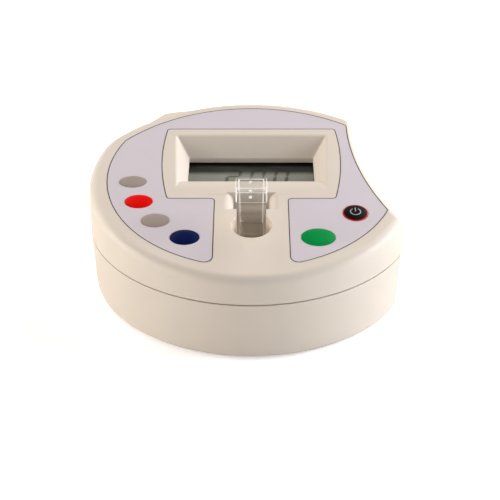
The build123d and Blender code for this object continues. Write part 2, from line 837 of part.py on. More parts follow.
with BuildPart() as display_board:
    with BuildSketch(display.offset(-display_board_drop)):
        board_half_width = display_post_x + small_post_radius + board_border
        board_half_depth = display_post_y + small_post_radius + board_border
        RectangleRounded(2 * board_half_width, 2 * board_half_depth, board_corner_radius)
        with Locations(*display_posts):
            Circle(small_screw_radius + board_hole_clearance, mode=Mode.SUBTRACT)
    extrude(amount=-board_thickness)
write(display_board, "display_board")

# Cuvette: square, with a collar at its mouth and a narrower chamber low down
with BuildPart() as cuvette:
    with BuildSketch(level.offset(cuvette_bottom)):
        with Locations((0, well_y)):
            RectangleRounded(cuvette_width, cuvette_width, cuvette_corner_radius)
    extrude(amount=cuvette_height)
    with BuildSketch(level.offset(cuvette_bottom + cuvette_height)):
        with Locations((0, well_y)):
            RectangleRounded(collar_width, collar_width, cuvette_corner_radius)
    extrude(amount=-collar_height)
    with BuildSketch(level.offset(cuvette_bottom + cuvette_height)):
        with Locations((0, well_y)):
            Rectangle(cuvette_cavity_width, cuvette_cavity_width)
    extrude(amount=-cuvette_cavity_depth, mode=Mode.SUBTRACT)
    with BuildSketch(level.offset(cuvette_bottom + chamber_floor)):
        with Locations((0, well_y)):
            Rectangle(cuvette_cavity_width, chamber_width)
    extrude(amount=cuvette_height - chamber_floor, mode=Mode.SUBTRACT)
write(cuvette, "cuvette")

# Cell holder: a block with the square cuvette hole and a light path across it
lens_face_x = holder_hole + lens_seat
filter_face_x = holder_hole + filter_seat
with BuildPart() as cell_holder:
    with BuildSketch(level.offset(main_board_top)):
        with Locations((0, well_y)):
            Rectangle(holder_width, holder_depth)
    extrude(amount=holder_top - main_board_top)
    with BuildSketch(level.offset(cuvette_bottom)):
        with Locations((0, well_y)):
            Rectangle(2 * holder_hole, 2 * holder_hole)
            with Locations((0, holder_hole)):
                Rectangle(spring_groove_width, 2 * spring_groove_depth)
    extrude(amount=holder_top - cuvette_bottom, mode=Mode.SUBTRACT)
    with BuildSketch(facing_right(-holder_width / 2, well_y, beam_level)):
        Circle(aperture_radius)
    extrude(amount=holder_width, mode=Mode.SUBTRACT)
    with BuildSketch(facing_right(-lens_face_x, well_y, beam_level)):
        Circle(lens_radius + optic_clearance)
    extrude(amount=lens_face_x - holder_width / 2, mode=Mode.SUBTRACT)
    with BuildSketch(facing_right(filter_face_x, well_y, beam_level)):
        Circle(filter_radius + optic_clearance)
    extrude(amount=holder_width / 2 - filter_face_x, mode=Mode.SUBTRACT)
    with BuildSketch(level.offset(main_board_top)):
        with Locations(*holder_screw_spots):
            Circle(small_screw_radius + screw_fit)
    extrude(amount=small_screw_length, mode=Mode.SUBTRACT)
write(cell_holder, "cell_holder")

with BuildPart() as cell_spring:
    spring_back_y = well_y + holder_hole + spring_groove_depth - holder_clearance / 2
    spring_middle = (cuvette_bottom + holder_top) / 2
    with BuildSketch(facing_right(0, spring_back_y, spring_middle)):
        with BuildLine():
            half = spring_length / 2
            back = ThreePointArc((0, -half), (-spring_bow, 0), (0, half))
            near = -spring_thickness
            front = ThreePointArc((near, -half), (near - spring_bow, 0), (near, half))
            Line(back @ 0, front @ 0)
            Line(back @ 1, front @ 1)
        make_face()
    extrude(amount=spring_width / 2, both=True)
write(cell_spring, "cell_spring")

# Light source side: lens, lamp and lamp board
beam_axis = Axis((axis_x, axis_y + well_y, beam_level), (1, 0, 0))
with BuildPart() as condenser_lens:
    with BuildSketch(Plane(origin=beam_axis.position, x_dir=(1, 0, 0), z_dir=(0, -1, 0))):
        with BuildLine():
            flat_x = -lens_face_x - optic_clearance
            rim_x = flat_x - lens_rim
            peak_x = flat_x - lens_thickness
            Polyline((peak_x, 0), (flat_x, 0), (flat_x, lens_radius), (rim_x, lens_radius))
            TangentArc((peak_x, 0), (rim_x, lens_radius), tangent=(0, 1))
        make_face()
    revolve(axis=beam_axis)
write(condenser_lens, "condenser_lens")

with BuildPart() as lamp:
    with BuildSketch(facing_right(-holder_width / 2, well_y, beam_level)):
        Circle(lamp_flange_radius)
    extrude(amount=lamp_flange_thickness)
    with BuildSketch(facing_right(-holder_width / 2, well_y, beam_level)):
        Circle(lamp_radius)
    extrude(amount=lamp_length)
    fillet(lamp.faces().sort_by(Axis.X)[-1].edges(), lamp_radius - lamp_tip_flat)
write(lamp, "lamp")

# Detector side: filter, detector and its board
with BuildPart() as optical_filter:
    with BuildSketch(facing_right(filter_face_x + optic_clearance, well_y, beam_level)):
        Circle(filter_radius)
    extrude(amount=filter_thickness)
write(optical_filter, "optical_filter")

with BuildPart() as detector:
    detector_x = filter_face_x + 2 * optic_clearance + filter_thickness
    with BuildSketch(facing_right(detector_x, well_y, beam_level)):
        Circle(filter_radius)
    extrude(amount=holder_width / 2 - detector_x)
    with BuildSketch(facing_right(detector_x, well_y, beam_level)):
        Circle(detector_window_radius)
    extrude(amount=detector_window_depth, mode=Mode.SUBTRACT)
write(detector, "detector")

optic_boards = {"lamp_board": -holder_width / 2 - board_thickness, "detector_board": holder_width / 2}
for name, left_x in optic_boards.items():
    with BuildPart() as optic_board:
        with BuildSketch(facing_right(left_x, well_y, beam_level)):
            Rectangle(optic_board_width, optic_board_height)
        extrude(amount=board_thickness)
    write(optic_board, name)

# Main board and its chips
with BuildPart() as main_board:
    main_mid_y = (main_board_front_y + main_board_back_y) / 2
    with BuildSketch(level.offset(main_board_height)) as main_outline:
        with Locations((0, main_mid_y)):
            Rectangle(2 * main_board_half_width, main_board_back_y - main_board_front_y)
        chamfer(main_outline.vertices(), main_board_corner)
        with Locations(*main_posts, *holder_screw_spots):
            Circle(small_screw_radius + board_hole_clearance, mode=Mode.SUBTRACT)
    extrude(amount=board_thickness)
write(main_board, "main_board")

with BuildPart() as main_chips:
    with BuildSketch(level.offset(main_board_top)):
        with Locations(*chip_spots):
            Rectangle(chip_width, chip_width)
    extrude(amount=chip_height)
write(main_chips, "main_chips")

# Battery pack and the strap that holds it down
with BuildPart() as battery_cells:
    with BuildSketch(facing_back(battery_front_y, cell_level, housing_centre_x)):
        with GridLocations(cell_pitch, 0, cell_count, 1):
            Circle(cell_radius)
    extrude(amount=cell_length)
write(battery_cells, "battery_cells")

strap_top = cell_level + cell_radius + strap_clearance
strap_inner = battery_half_width + battery_clearance
strap_outer = strap_inner + strap_thickness
with BuildPart() as battery_strap:
    with BuildSketch(facing_back(strap_mid_y, strap_foot_level, housing_centre_x)):
        strap_rise = strap_top - strap_foot_level
        Rectangle(2 * (strap_outer + strap_foot_length), strap_thickness, align=(CENTRE, LOW))
        Rectangle(2 * strap_outer, strap_rise + strap_thickness, align=(CENTRE, LOW))
        Rectangle(2 * strap_inner, strap_rise, align=(CENTRE, LOW), mode=Mode.SUBTRACT)
    extrude(amount=strap_width / 2, both=True)
    with BuildSketch(level.offset(strap_foot_level)):
        with Locations(*strap_spots):
            Circle(small_screw_radius + board_hole_clearance)
    extrude(amount=strap_thickness, mode=Mode.SUBTRACT)
write(battery_strap, "battery_strap")

# Sockets: serial port with its jack screws, power socket, and the board that carries both
with BuildPart() as serial_port:
    with BuildSketch(facing_back(panel_inner_y, socket_level, port_x)):
        Rectangle(port_flange_width, port_flange_height)
        with GridLocations(port_screw_spacing, 0, 2, 1):
            Circle(port_thread_radius, mode=Mode.SUBTRACT)
    extrude(amount=-port_flange_thickness)
    with BuildSketch(facing_back(panel_inner_y - port_flange_thickness, socket_level, port_x)):
        Rectangle(port_body_width, port_flange_height)
    extrude(amount=-port_body_depth)
    with BuildSketch(facing_back(panel_inner_y, socket_level, port_x)) as port_nose:
        Trapezoid(port_nose_width, port_nose_height, 90 - port_nose_slope, rotation=180)
        fillet(port_nose.vertices(), port_nose_radius)
        offset(amount=-port_shell, mode=Mode.SUBTRACT)
    extrude(amount=port_nose_length)
    with BuildSketch(facing_back(panel_inner_y, socket_level, port_x)):
        with Locations((0, port_row_pitch / 2)):
            with GridLocations(port_pin_pitch, 0, port_long_row, 1):
                Circle(port_pin_radius)
        with Locations((0, -port_row_pitch / 2)):
            with GridLocations(port_pin_pitch, 0, port_long_row - 1, 1):
                Circle(port_pin_radius)
    extrude(amount=port_pin_length)
write(serial_port, "serial_port")

with BuildPart() as port_screws:
    with BuildSketch(facing_back(panel_inner_y, socket_level, port_x)):
        with GridLocations(port_screw_spacing, 0, 2, 1):
            RegularPolygon(port_screw_radius, 6)
            Circle(port_thread_radius, mode=Mode.SUBTRACT)
    extrude(amount=port_screw_length)
write(port_screws, "port_screws")

with BuildPart() as power_socket:
    with BuildSketch(facing_back(panel_inner_y, jack_level, jack_x)):
        Rectangle(jack_body_width, jack_body_height)
    extrude(amount=-jack_body_depth)
    with BuildSketch(facing_back(panel_inner_y, jack_level, jack_x)):
        Circle(jack_nose_radius)
    extrude(amount=wall)
    with BuildSketch(facing_back(panel_y, jack_level, jack_x)):
        Circle(jack_bore_radius)
        Circle(jack_pin_radius, mode=Mode.SUBTRACT)
    extrude(amount=-jack_bore_depth, mode=Mode.SUBTRACT)
write(power_socket, "power_socket")

with BuildPart() as socket_board:
    with BuildSketch(level.offset(socket_board_top)):
        with Locations((housing_centre_x, panel_inner_y - socket_board_gap)):
            Rectangle(socket_board_width, socket_board_depth, align=(CENTRE, HIGH))
        with Locations(*socket_posts):
            Circle(small_screw_radius + board_hole_clearance, mode=Mode.SUBTRACT)
    extrude(amount=-board_thickness)
write(socket_board, "socket_board")

# Screws of each kind share a node
small_screws = {
    "key_board_screws": (face.offset(-key_board_drop - board_thickness), key_posts, -1),
    "display_screws": (display.offset(-display_board_drop - board_thickness), display_posts, -1),
    "main_board_screws": (level.offset(main_board_top), main_posts, 1),
    "socket_board_screws": (level.offset(socket_board_top), socket_posts, 1),
    "strap_screws": (level.offset(strap_foot_level + strap_thickness), strap_spots, 1),
    "holder_screws": (level.offset(main_board_height), holder_screw_spots, -1),
}
for name, (seat, spots, side) in small_screws.items():
    with BuildPart() as screws:
        with BuildSketch(seat):
            with Locations(*spots):
                Circle(small_screw_head_radius)
        extrude(amount=side * small_screw_head_height)
        with BuildSketch(seat):
            with Locations(*spots):
                Circle(small_screw_radius)
        extrude(amount=-side * small_screw_length)
    write(screws, name)

with BuildPart() as case_screws:
    with BuildSketch(level.offset(case_screw_seat)):
        with Locations(*case_posts):
            Circle(screw_head_radius)
    extrude(amount=-screw_head_height)
    with BuildSketch(level.offset(case_screw_seat)):
        with Locations(*case_posts):
            Circle(screw_radius)
    extrude(amount=case_screw_length)
    with BuildSketch(level.offset(case_screw_seat - screw_head_height)):
        with Locations(*case_posts):
            RegularPolygon(screw_hex_radius, 6)
    extrude(amount=screw_hex_depth, mode=Mode.SUBTRACT)
write(case_screws, "case_screws")

# Feet: rubber discs let into the base
with BuildPart() as rubber_feet:
    with BuildSketch(level):
        with Locations(*feet):
            Circle(foot_radius)
    extrude(amount=foot_thickness)
    fillet(rubber_feet.edges().group_by(Axis.Z)[0], foot_edge_radius)
write(rubber_feet, "rubber_feet")
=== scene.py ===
# %% [markdown]
# # Cell density meter
# A bench instrument for laboratories, about as large as a hand. It reads how cloudy a liquid is: light
# goes through a small square cuvette that stands in a well, and the value shows on a liquid-crystal
# display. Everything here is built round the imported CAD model, which gives the true place and size of
# each piece. Sizes are written in millimetres, and MM turns them into metres, the unit of the scene.

from math import cos, pi, radians, sin, sqrt

import bmesh
import bpy
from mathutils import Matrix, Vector


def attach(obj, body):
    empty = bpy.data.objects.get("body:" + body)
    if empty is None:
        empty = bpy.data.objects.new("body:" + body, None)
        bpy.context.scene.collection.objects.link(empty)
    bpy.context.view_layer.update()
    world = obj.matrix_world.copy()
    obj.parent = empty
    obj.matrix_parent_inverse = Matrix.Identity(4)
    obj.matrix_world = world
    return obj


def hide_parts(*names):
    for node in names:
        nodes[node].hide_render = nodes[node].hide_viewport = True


MM = 0.001
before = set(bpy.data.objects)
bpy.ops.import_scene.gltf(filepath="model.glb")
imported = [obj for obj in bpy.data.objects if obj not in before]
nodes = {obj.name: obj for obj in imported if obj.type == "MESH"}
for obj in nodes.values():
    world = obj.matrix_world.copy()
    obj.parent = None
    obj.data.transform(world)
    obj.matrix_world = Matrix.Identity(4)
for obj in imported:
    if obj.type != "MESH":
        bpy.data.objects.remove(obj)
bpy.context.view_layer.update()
scene = bpy.context.scene

# %% [markdown]
# ## Colour and node helpers
# A colour is picked as it looks on a screen, as sRGB hex, but the renderer counts light in linear
# values, so one function turns the one into the other. A second small function adds a node with its
# settings and links. The rest is what nearly every finish here needs: the place on the object, noise of
# a real size, a tint between two colours, and relief of a real depth.

# %% Colour and node helpers
WHITE = (1, 1, 1, 1)


def linear(hex_colour):
    """Linear RGBA from an sRGB hex colour such as d9d2c8."""
    channels = []
    for start in (0, 2, 4):
        value = int(hex_colour[start:start + 2], 16) / 255
        channels.append(value / 12.92 if value <= 0.04045 else ((value + 0.055) / 1.055) ** 2.4)
    return (*channels, 1.0)


def add_node(tree, kind, links=(), **settings):
    """Adds a node. A setting whose name is a property sets that, any other sets the input of that name."""
    node = tree.nodes.new(kind)
    sockets = {}
    for name, value in settings.items():
        if hasattr(node, name):
            setattr(node, name, value)
        else:
            sockets[name.replace("_", " ")] = value
    for name, value in sockets.items():
        node.inputs[name].default_value = value
    for source, target in links:
        tree.links.new(source, node.inputs[target])
    return node


def new_material(name, **settings):
    """Principled material: the shader's own sockets carry every value that is the same all over."""
    material = bpy.data.materials.new(name)
    material.use_nodes = True
    shader = material.node_tree.nodes["Principled BSDF"]
    for socket, value in settings.items():
        shader.inputs[socket.replace("_", " ")].default_value = value
    return material, material.node_tree, shader


def object_place(tree):
    """Place on the object itself, in metres, so that a pattern keeps its real size."""
    return add_node(tree, "ShaderNodeTexCoord").outputs["Object"]


def noise(tree, place, size, detail):
    """Noise from 0 to 1 whose largest features are about as wide as the size given."""
    node = add_node(tree, "ShaderNodeTexNoise", [(place, "Vector")], Scale=1 / size, Detail=detail)
    return node.outputs["Fac"]


def tint_between(tree, factor, low, high):
    """Colour that runs from one hex colour to another as the factor goes from 0 to 1."""
    ramp = add_node(tree, "ShaderNodeValToRGB", [(factor, "Fac")])
    ramp.color_ramp.elements[0].color = linear(low)
    ramp.color_ramp.elements[1].color = linear(high)
    return ramp.outputs["Color"]


def relief(tree, shader, height, depth, normal=None):
    """Bends the shader's normal like a relief of the given depth, over another normal if one is given."""
    bump = add_node(tree, "ShaderNodeBump", [(height, "Height")], Strength=1.0, Distance=depth)
    if normal is not None:
        tree.links.new(normal, bump.inputs["Normal"])
    tree.links.new(bump.outputs["Normal"], shader.inputs["Normal"])


def dress(mesh, *materials):
    """Gives a mesh its materials in order."""
    mesh.materials.clear()
    for material in materials:
        mesh.materials.append(material)


print("helpers ready")

# %% [markdown]
# ## Moulded plastics
# The case is injection-moulded ABS in a warm off-white. Its mould was spark-eroded, which leaves a fine
# matt grain a few tenths of a millimetre across: a broad, soft highlight and no mirror image of the
# lamps. No moulded edge is perfectly sharp either. The shader's Bevel node bends the normal within a
# fraction of a millimetre of each edge, so the edges catch light as rounded ones do, and the CAD mesh
# stays as it is. The same recipe, each time with its own grain, roughness and gloss, gives the keys, the
# inks, the black inner pieces, the feet and the jackets of the cells.

# %% Moulded plastics
PLASTIC_CLOUD = 18 * MM
PLASTIC_IOR = 1.53


def moulded_plastic(name, colours, roughness, grain_size, grain_depth, edge=0.0, gloss=0.5):
    """Moulded plastic: a faint cloudiness of colour, the mould's grain, and edges that look rounded."""
    material, tree, shader = new_material(name, Roughness=roughness, IOR=PLASTIC_IOR,
                                          Specular_IOR_Level=gloss)
    place = object_place(tree)
    tint = tint_between(tree, noise(tree, place, PLASTIC_CLOUD, 2.0), *colours)
    tree.links.new(tint, shader.inputs["Base Color"])
    rounded = None
    if edge:
        rounded = add_node(tree, "ShaderNodeBevel", samples=6, Radius=edge).outputs["Normal"]
    relief(tree, shader, noise(tree, place, grain_size, 3.0), grain_depth, rounded)
    return material


housing_abs = moulded_plastic("housing ABS, spark-eroded", ("d4cabe", "d9cfc4"), roughness=0.52,
                              grain_size=0.45 * MM, grain_depth=0.014 * MM, edge=0.5 * MM)
key_recipe = {"roughness": 0.45, "grain_size": 0.25 * MM, "grain_depth": 0.004 * MM, "gloss": 0.05}
key_grey = moulded_plastic("key ABS grey, satin moulded", ("988c85", "a0948e"), **key_recipe)
key_red = moulded_plastic("key ABS red, satin moulded", ("d80400", "de0802"), **key_recipe)
key_navy = moulded_plastic("key ABS navy, satin moulded", ("000c3c", "02134a"), **key_recipe)
key_green = moulded_plastic("key ABS green, satin moulded", ("00863e", "009046"), **key_recipe)
key_black = moulded_plastic("key ABS black, satin moulded", ("0b0b0c", "111112"), **key_recipe)
black_abs = moulded_plastic("inner ABS black, fine matt mould", ("141414", "1d1c1b"), roughness=0.6,
                            grain_size=0.3 * MM, grain_depth=0.01 * MM)
print(len(bpy.data.materials), "plastics ready")

# %% [markdown]
# ## Printed film
# The keys' field is a polycarbonate film, printed on its back and let into a shallow pocket of the case.
# The ink is a pale lilac grey. The front face is finely textured, so it is a little glossier than the
# case and cooler in colour.

# %% Printed film
INK_CLOUD = 25 * MM
VELVET_SIZE = 0.12 * MM
VELVET_DEPTH = 0.003 * MM
overlay_film, film_tree, film_shader = new_material(
    "overlay polycarbonate film, back-printed and velvet textured", Roughness=0.42, IOR=1.58)
film_place = object_place(film_tree)
film_tint = tint_between(film_tree, noise(film_tree, film_place, INK_CLOUD, 2.0), "cac3cb", "d0c9d1")
film_tree.links.new(film_tint, film_shader.inputs["Base Color"])
relief(film_tree, film_shader, noise(film_tree, film_place, VELVET_SIZE, 1.0), VELVET_DEPTH)
print(overlay_film.name)

# %% [markdown]
# ## Clear plastics and glass
# The cuvette is clear polystyrene, the display's window is acrylic, and the lens and the filter are
# glass. A wall as thin as these bends light very little, so a share of the light goes straight on, and
# only the rest is refracted: without that share, a small moulding shows black bands that the eye doesn't
# see in the real one. Shadow rays always go straight on, a little dimmed, which keeps the well and the
# display lit without the noise of caustics.

# %% Clear plastics and glass
CLEAR_CLOUD = 4 * MM
POLYSTYRENE_IOR = 1.59


def clear_solid(name, colour, ior, roughness, shadow_tint, straight=0.0, haze=0.0, straight_tint="ffffff"):
    """Clear solid: refracts a part of what the eye sees, and lets the rest and shadow rays straight on."""
    material, tree, shader = new_material(name, Transmission_Weight=1.0 - haze, IOR=ior,
                                          Roughness=roughness)
    tint = tint_between(tree, noise(tree, object_place(tree), CLEAR_CLOUD, 2.0), colour, "ffffff")
    tree.links.new(tint, shader.inputs["Base Color"])
    shadow_ray = add_node(tree, "ShaderNodeLightPath").outputs["Is Shadow Ray"]
    share = add_node(tree, "ShaderNodeMath", [(shadow_ray, 0)], operation="MAXIMUM")
    share.inputs[1].default_value = straight
    dimming = tint_between(tree, shadow_ray, straight_tint, shadow_tint)
    passing = add_node(tree, "ShaderNodeBsdfTransparent", [(dimming, "Color")])
    links = [(share.outputs["Value"], 0), (shader.outputs["BSDF"], 1), (passing.outputs["BSDF"], 2)]
    mixed = add_node(tree, "ShaderNodeMixShader", links)
    tree.links.new(mixed.outputs["Shader"], tree.nodes["Material Output"].inputs["Surface"])
    return material


# The grey straight-through tint darkens the body as the shaded well behind it does: painted shade. The
# mouth's walls are thinner, and its material leaves that painted shade out, so the mouth shows lighter.
polystyrene = clear_solid("cuvette polystyrene, polished mould", "f4f4f2", ior=POLYSTYRENE_IOR,
                          roughness=0.03, shadow_tint="e8e5e2", straight=0.65, straight_tint="f1efec")
thin_polystyrene = clear_solid("cuvette polystyrene, thin polished mouth", "f8f8f6", ior=POLYSTYRENE_IOR,
                               roughness=0.03, shadow_tint="e8e5e2", straight=0.85)
# Hazy white for the cuvette's rounded edges: a painted highlight.
edge_highlight = clear_solid("cuvette polystyrene, hazy edge, painted highlight", "f6f5f2", ior=POLYSTYRENE_IOR,
                           roughness=0.35, shadow_tint="dedad6", haze=0.75)
window_acrylic = clear_solid("window acrylic, anti-glare sheet", "fbfbfb", ior=1.49,
                             roughness=0.05, shadow_tint="f0f0f0", straight=0.9)
lens_glass = clear_solid("lens glass, polished", "f6f8fa", ior=1.52, roughness=0.01, shadow_tint="f0f2f4")
filter_glass = clear_solid("filter glass, orange dyed", "e07a20", ior=1.52, roughness=0.02,
                           shadow_tint="e08a40")
lamp_resin = clear_solid("lamp epoxy, water clear", "f6efe6", ior=1.54, roughness=0.05,
                         shadow_tint="f4ece0")
print("clear materials ready")

# %% [markdown]
# ## Display glass
# A liquid-crystal display with no backlight is a grey-green reflector behind two sheets of glass and two
# polarizers. Only the segments that are switched on turn dark. The rear part of the glass lies in the
# shade of the recess's rear wall: a gradient along the glass, the same on the field and on the segments,
# paints that shade in, with a little cloudiness.

# %% Display glass
LCD_FULL_SHADE_Y = 7.6 * MM
LCD_SHADE_START_Y = 3.0 * MM
LCD_CLOUD = 9 * MM
LCD_GRAIN_SIZE = 0.2 * MM
LCD_GRAIN_DEPTH = 0.002 * MM
# The Mix node has sockets A, B and Result for each kind of value, and these are the ones for colours.
MIX_A = 6
MIX_B = 7
MIX_RESULT = 2


def display_material(name, colours, gloss):
    """Layer of the display, darker to the rear by a painted shade of the recess's rear wall."""
    material, tree, shader = new_material(name, Roughness=0.3, IOR=1.5, Specular_IOR_Level=gloss)
    place = object_place(tree)
    parts = add_node(tree, "ShaderNodeSeparateXYZ", [(place, "Vector")])
    side = add_node(tree, "ShaderNodeMapRange", [(parts.outputs["Y"], "Value")],
                    interpolation_type="SMOOTHSTEP", From_Min=LCD_SHADE_START_Y, From_Max=LCD_FULL_SHADE_Y)
    # Painted shade: full colour at the front of the glass, near black at its rear, where the recess wall
    # shades it.
    painted_shade = tint_between(tree, side.outputs["Result"], "ffffff", "1e1f1d")
    tint = tint_between(tree, noise(tree, place, LCD_CLOUD, 2.0), *colours)
    mix = add_node(tree, "ShaderNodeMix", data_type="RGBA", blend_type="MULTIPLY")
    mix.inputs["Factor"].default_value = 1.0
    tree.links.new(tint, mix.inputs[MIX_A])
    tree.links.new(painted_shade, mix.inputs[MIX_B])
    tree.links.new(mix.outputs[MIX_RESULT], shader.inputs["Base Color"])
    relief(tree, shader, noise(tree, place, LCD_GRAIN_SIZE, 2.0), LCD_GRAIN_DEPTH)
    return material


lcd_field = display_material("display glass, grey-green reflective", ("858a81", "92978d"), gloss=0.2)
lcd_segment = display_material("display segment, switched-on crystal", ("5a5b55", "62635b"), gloss=0.08)
print("display materials ready")

# %% [markdown]
# ## Metals
# Screws are zinc-plated steel, with fine scratches from the driver and the washer. The socket's shell is
# tinned sheet, a little duller. The battery strap is brushed steel: noise stretched along one axis gives
# the brush marks.

# %% Metals


def metal(name, colours, roughness_range, mark_size, stretch=(1, 1, 1)):
    """Metal whose roughness varies with marks of a given size, which are stretched if it was brushed."""
    material, tree, shader = new_material(name, Metallic=1.0)
    spread = add_node(tree, "ShaderNodeMapping", [(object_place(tree), "Vector")], Scale=stretch)
    marks = noise(tree, spread.outputs["Vector"], mark_size, 4.0)
    tree.links.new(tint_between(tree, marks, *colours), shader.inputs["Base Color"])
    rough = add_node(tree, "ShaderNodeMapRange", [(marks, "Value")],
                     To_Min=roughness_range[0], To_Max=roughness_range[1])
    tree.links.new(rough.outputs["Result"], shader.inputs["Roughness"])
    return material


steel = metal("screw steel, zinc plated", ("a9a8a6", "c4c3c0"), roughness_range=(0.22, 0.42),
              mark_size=0.5 * MM)
tinned_steel = metal("socket shell, tinned sheet", ("9c9a96", "b9b7b2"), roughness_range=(0.3, 0.5),
                     mark_size=1.5 * MM)
strap_steel = metal("battery strap, brushed steel", ("8f8e8c", "b0afac"), roughness_range=(0.28, 0.45),
                    mark_size=0.6 * MM, stretch=(0.05, 1, 1))
print("metals ready")

# %% [markdown]
# ## Inside and underneath
# Circuit boards are green solder mask over copper: the copper tracks show as slightly raised, lighter
# paths, which a brick pattern with thin mortar gives at the right scale. The cells have a printed jacket.
# The feet are moulded rubber with a coarse matt face.

# %% Boards, cells and rubber
TRACK_PITCH = 8 * MM
TRACK_HEIGHT = 0.035 * MM
circuit_board, board_tree, board_shader = new_material("circuit board, green solder mask",
                                                       Roughness=0.35, IOR=1.5)
tracks = add_node(board_tree, "ShaderNodeTexBrick", [(object_place(board_tree), "Vector")], offset=0.37,
                  Scale=1 / TRACK_PITCH, Mortar_Size=0.03, Mortar_Smooth=0.2,
                  Color1=linear("14502c"), Color2=linear("175a32"), Mortar=linear("2f7d48"))
board_tree.links.new(tracks.outputs["Color"], board_shader.inputs["Base Color"])
relief(board_tree, board_shader, tracks.outputs["Fac"], TRACK_HEIGHT)
cell_jacket = moulded_plastic("cell jacket, shrunk PVC", ("2c5f96", "356ba6"), roughness=0.3,
                              grain_size=1.2 * MM, grain_depth=0.01 * MM)
foot_rubber = moulded_plastic("foot rubber, coarse mould", ("1d1c1b", "2a2827"), roughness=0.78,
                              grain_size=0.45 * MM, grain_depth=0.03 * MM)
print("inner materials ready")

# %% [markdown]
# ## Dress the CAD nodes
# Most nodes have the right shape already, so they only take a material. The table reads as the parts list
# of a service manual does: piece, then finish.

# %% Dress the CAD nodes
finishes = {
    "upper_shell": housing_abs,
    "lower_shell": housing_abs,
    "overlay_panel": overlay_film,
    "recall_key": key_grey,
    "reset_key": key_red,
    "memory_key": key_grey,
    "blank_key": key_navy,
    "sample_key": key_green,
    "power_key": key_black,
    "key_switches": black_abs,
    "key_board_left": circuit_board,
    "key_board_right": circuit_board,
    "key_board_screws": steel,
    "display_window": window_acrylic,
    "lcd_glass": lcd_field,
    "lcd_frame": black_abs,
    "display_board": circuit_board,
    "display_screws": steel,
    "cuvette": polystyrene,
    "cell_holder": black_abs,
    "cell_spring": steel,
    "condenser_lens": lens_glass,
    "lamp": lamp_resin,
    "lamp_board": circuit_board,
    "optical_filter": filter_glass,
    "detector": black_abs,
    "detector_board": circuit_board,
    "main_board": circuit_board,
    "main_chips": black_abs,
    "main_board_screws": steel,
    "holder_screws": steel,
    "battery_cells": cell_jacket,
    "battery_strap": strap_steel,
    "strap_screws": steel,
    "serial_port": tinned_steel,
    "port_screws": steel,
    "power_socket": black_abs,
    "socket_board": circuit_board,
    "socket_board_screws": steel,
    "case_screws": steel,
    "rubber_feet": foot_rubber,
}
for name, material in finishes.items():
    dress(nodes[name].data, material)
print(len(finishes), "nodes dressed")

# %% [markdown]
# ## Frames of reference
# The top face slopes, and so does the display, by less. Marks are drawn flat, in the plane of what
# carries them, and a small function lays them on it. The extent of a CAD node along the plane's own axes
# gives the middle and the top of what carries a mark.

# %% Frames of reference
FACE_TILT = radians(7.84)
DISPLAY_TILT = radians(3.5)
AXIS_X = 3.878 * MM
AXIS_Y = -13.75 * MM
FACE_HEIGHT = 52.05 * MM
MERGE_DISTANCE = 0.001 * MM
INK_LIFT = 0.03 * MM


def sloped_axes(tilt):
    """Right, back and outward directions of a plane that rises to the back."""
    return Vector((1, 0, 0)), Vector((0, cos(tilt), sin(tilt))), Vector((0, -sin(tilt), cos(tilt)))


def extent(node_name, tilt):
    """Middle of a node along a plane's right and back, its greatest outward reach, and its half sizes."""
    spans = []
    for axis in sloped_axes(tilt):
        reaches = [vertex.co.dot(axis) for vertex in nodes[node_name].data.vertices]
        spans.append((min(reaches), max(reaches)))
    (left, right), (front, back), (inside, outside) = spans
    return (left + right) / 2, (front + back) / 2, outside, (right - left) / 2, (back - front) / 2


def lay_flat(outlines, middle_x, middle_y, height, tilt, name, material):
    """Mesh of flat outlines, drawn about a middle, at the height that a function or a number gives."""
    right, back, outward = sloped_axes(tilt)
    mesh = bpy.data.meshes.new(name)
    dress(mesh, material)
    work = bmesh.new()
    for outline in outlines:
        corners = []
        for x, y in outline:
            lift = height(x, y) if callable(height) else height
            corners.append(work.verts.new(right * (middle_x + x) + back * (middle_y + y) + outward * lift))
        face = work.faces.new(corners)
        face.normal_update()
        if face.normal.dot(outward) < 0:
            face.normal_flip()
    work.to_mesh(mesh)
    work.free()
    return mesh


def add_piece(name, mesh, body):
    """Object at the origin for a finished mesh, attached to its body."""
    piece = bpy.data.objects.new(name, mesh)
    scene.collection.objects.link(piece)
    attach(piece, body)
    return piece


face_right, face_back, face_out = sloped_axes(FACE_TILT)
print("power key, half sizes in mm:", [round(v / MM, 2) for v in extent("power_key", FACE_TILT)[3:]])

# %% [markdown]
# ## Upper shell
# On the real moulding, the display's front sill runs out smoothly into the top face. The CAD shell leaves
# a shallow dip there, less than half a millimetre deep. A copy of the shell stands in for it, with the
# dip raised to the face. The copy keeps the CAD surface's own normals everywhere else, so that its
# roundings shade as they should.

# %% Upper shell
DIP_BACK_Y = -11.6 * MM
DIP_FRONT_Y = -16.3 * MM
DIP_INNER_X = 11.3 * MM
DIP_OUTER_X = 34.6 * MM
DIP_DEPTH = 0.45 * MM
LEVEL_TOLERANCE = 0.03 * MM
FACE_AXIS_Y = AXIS_Y * cos(FACE_TILT) + FACE_HEIGHT * sin(FACE_TILT)
NORMAL_LAYER = "kept_normal"


def keep_normals(mesh):
    """Keeps the corner normals of a mesh in an attribute, because merging points would lose them."""
    kept = mesh.attributes.new(NORMAL_LAYER, "FLOAT_VECTOR", "CORNER")
    for corner, normal in zip(kept.data, mesh.corner_normals):
        corner.vector = normal.vector


def restore_normals(mesh):
    """Gives a mesh the corner normals that were kept, and drops the attribute."""
    kept = [corner.vector.normalized() for corner in mesh.attributes[NORMAL_LAYER].data]
    mesh.normals_split_custom_set(kept)
    mesh.attributes.remove(mesh.attributes[NORMAL_LAYER])


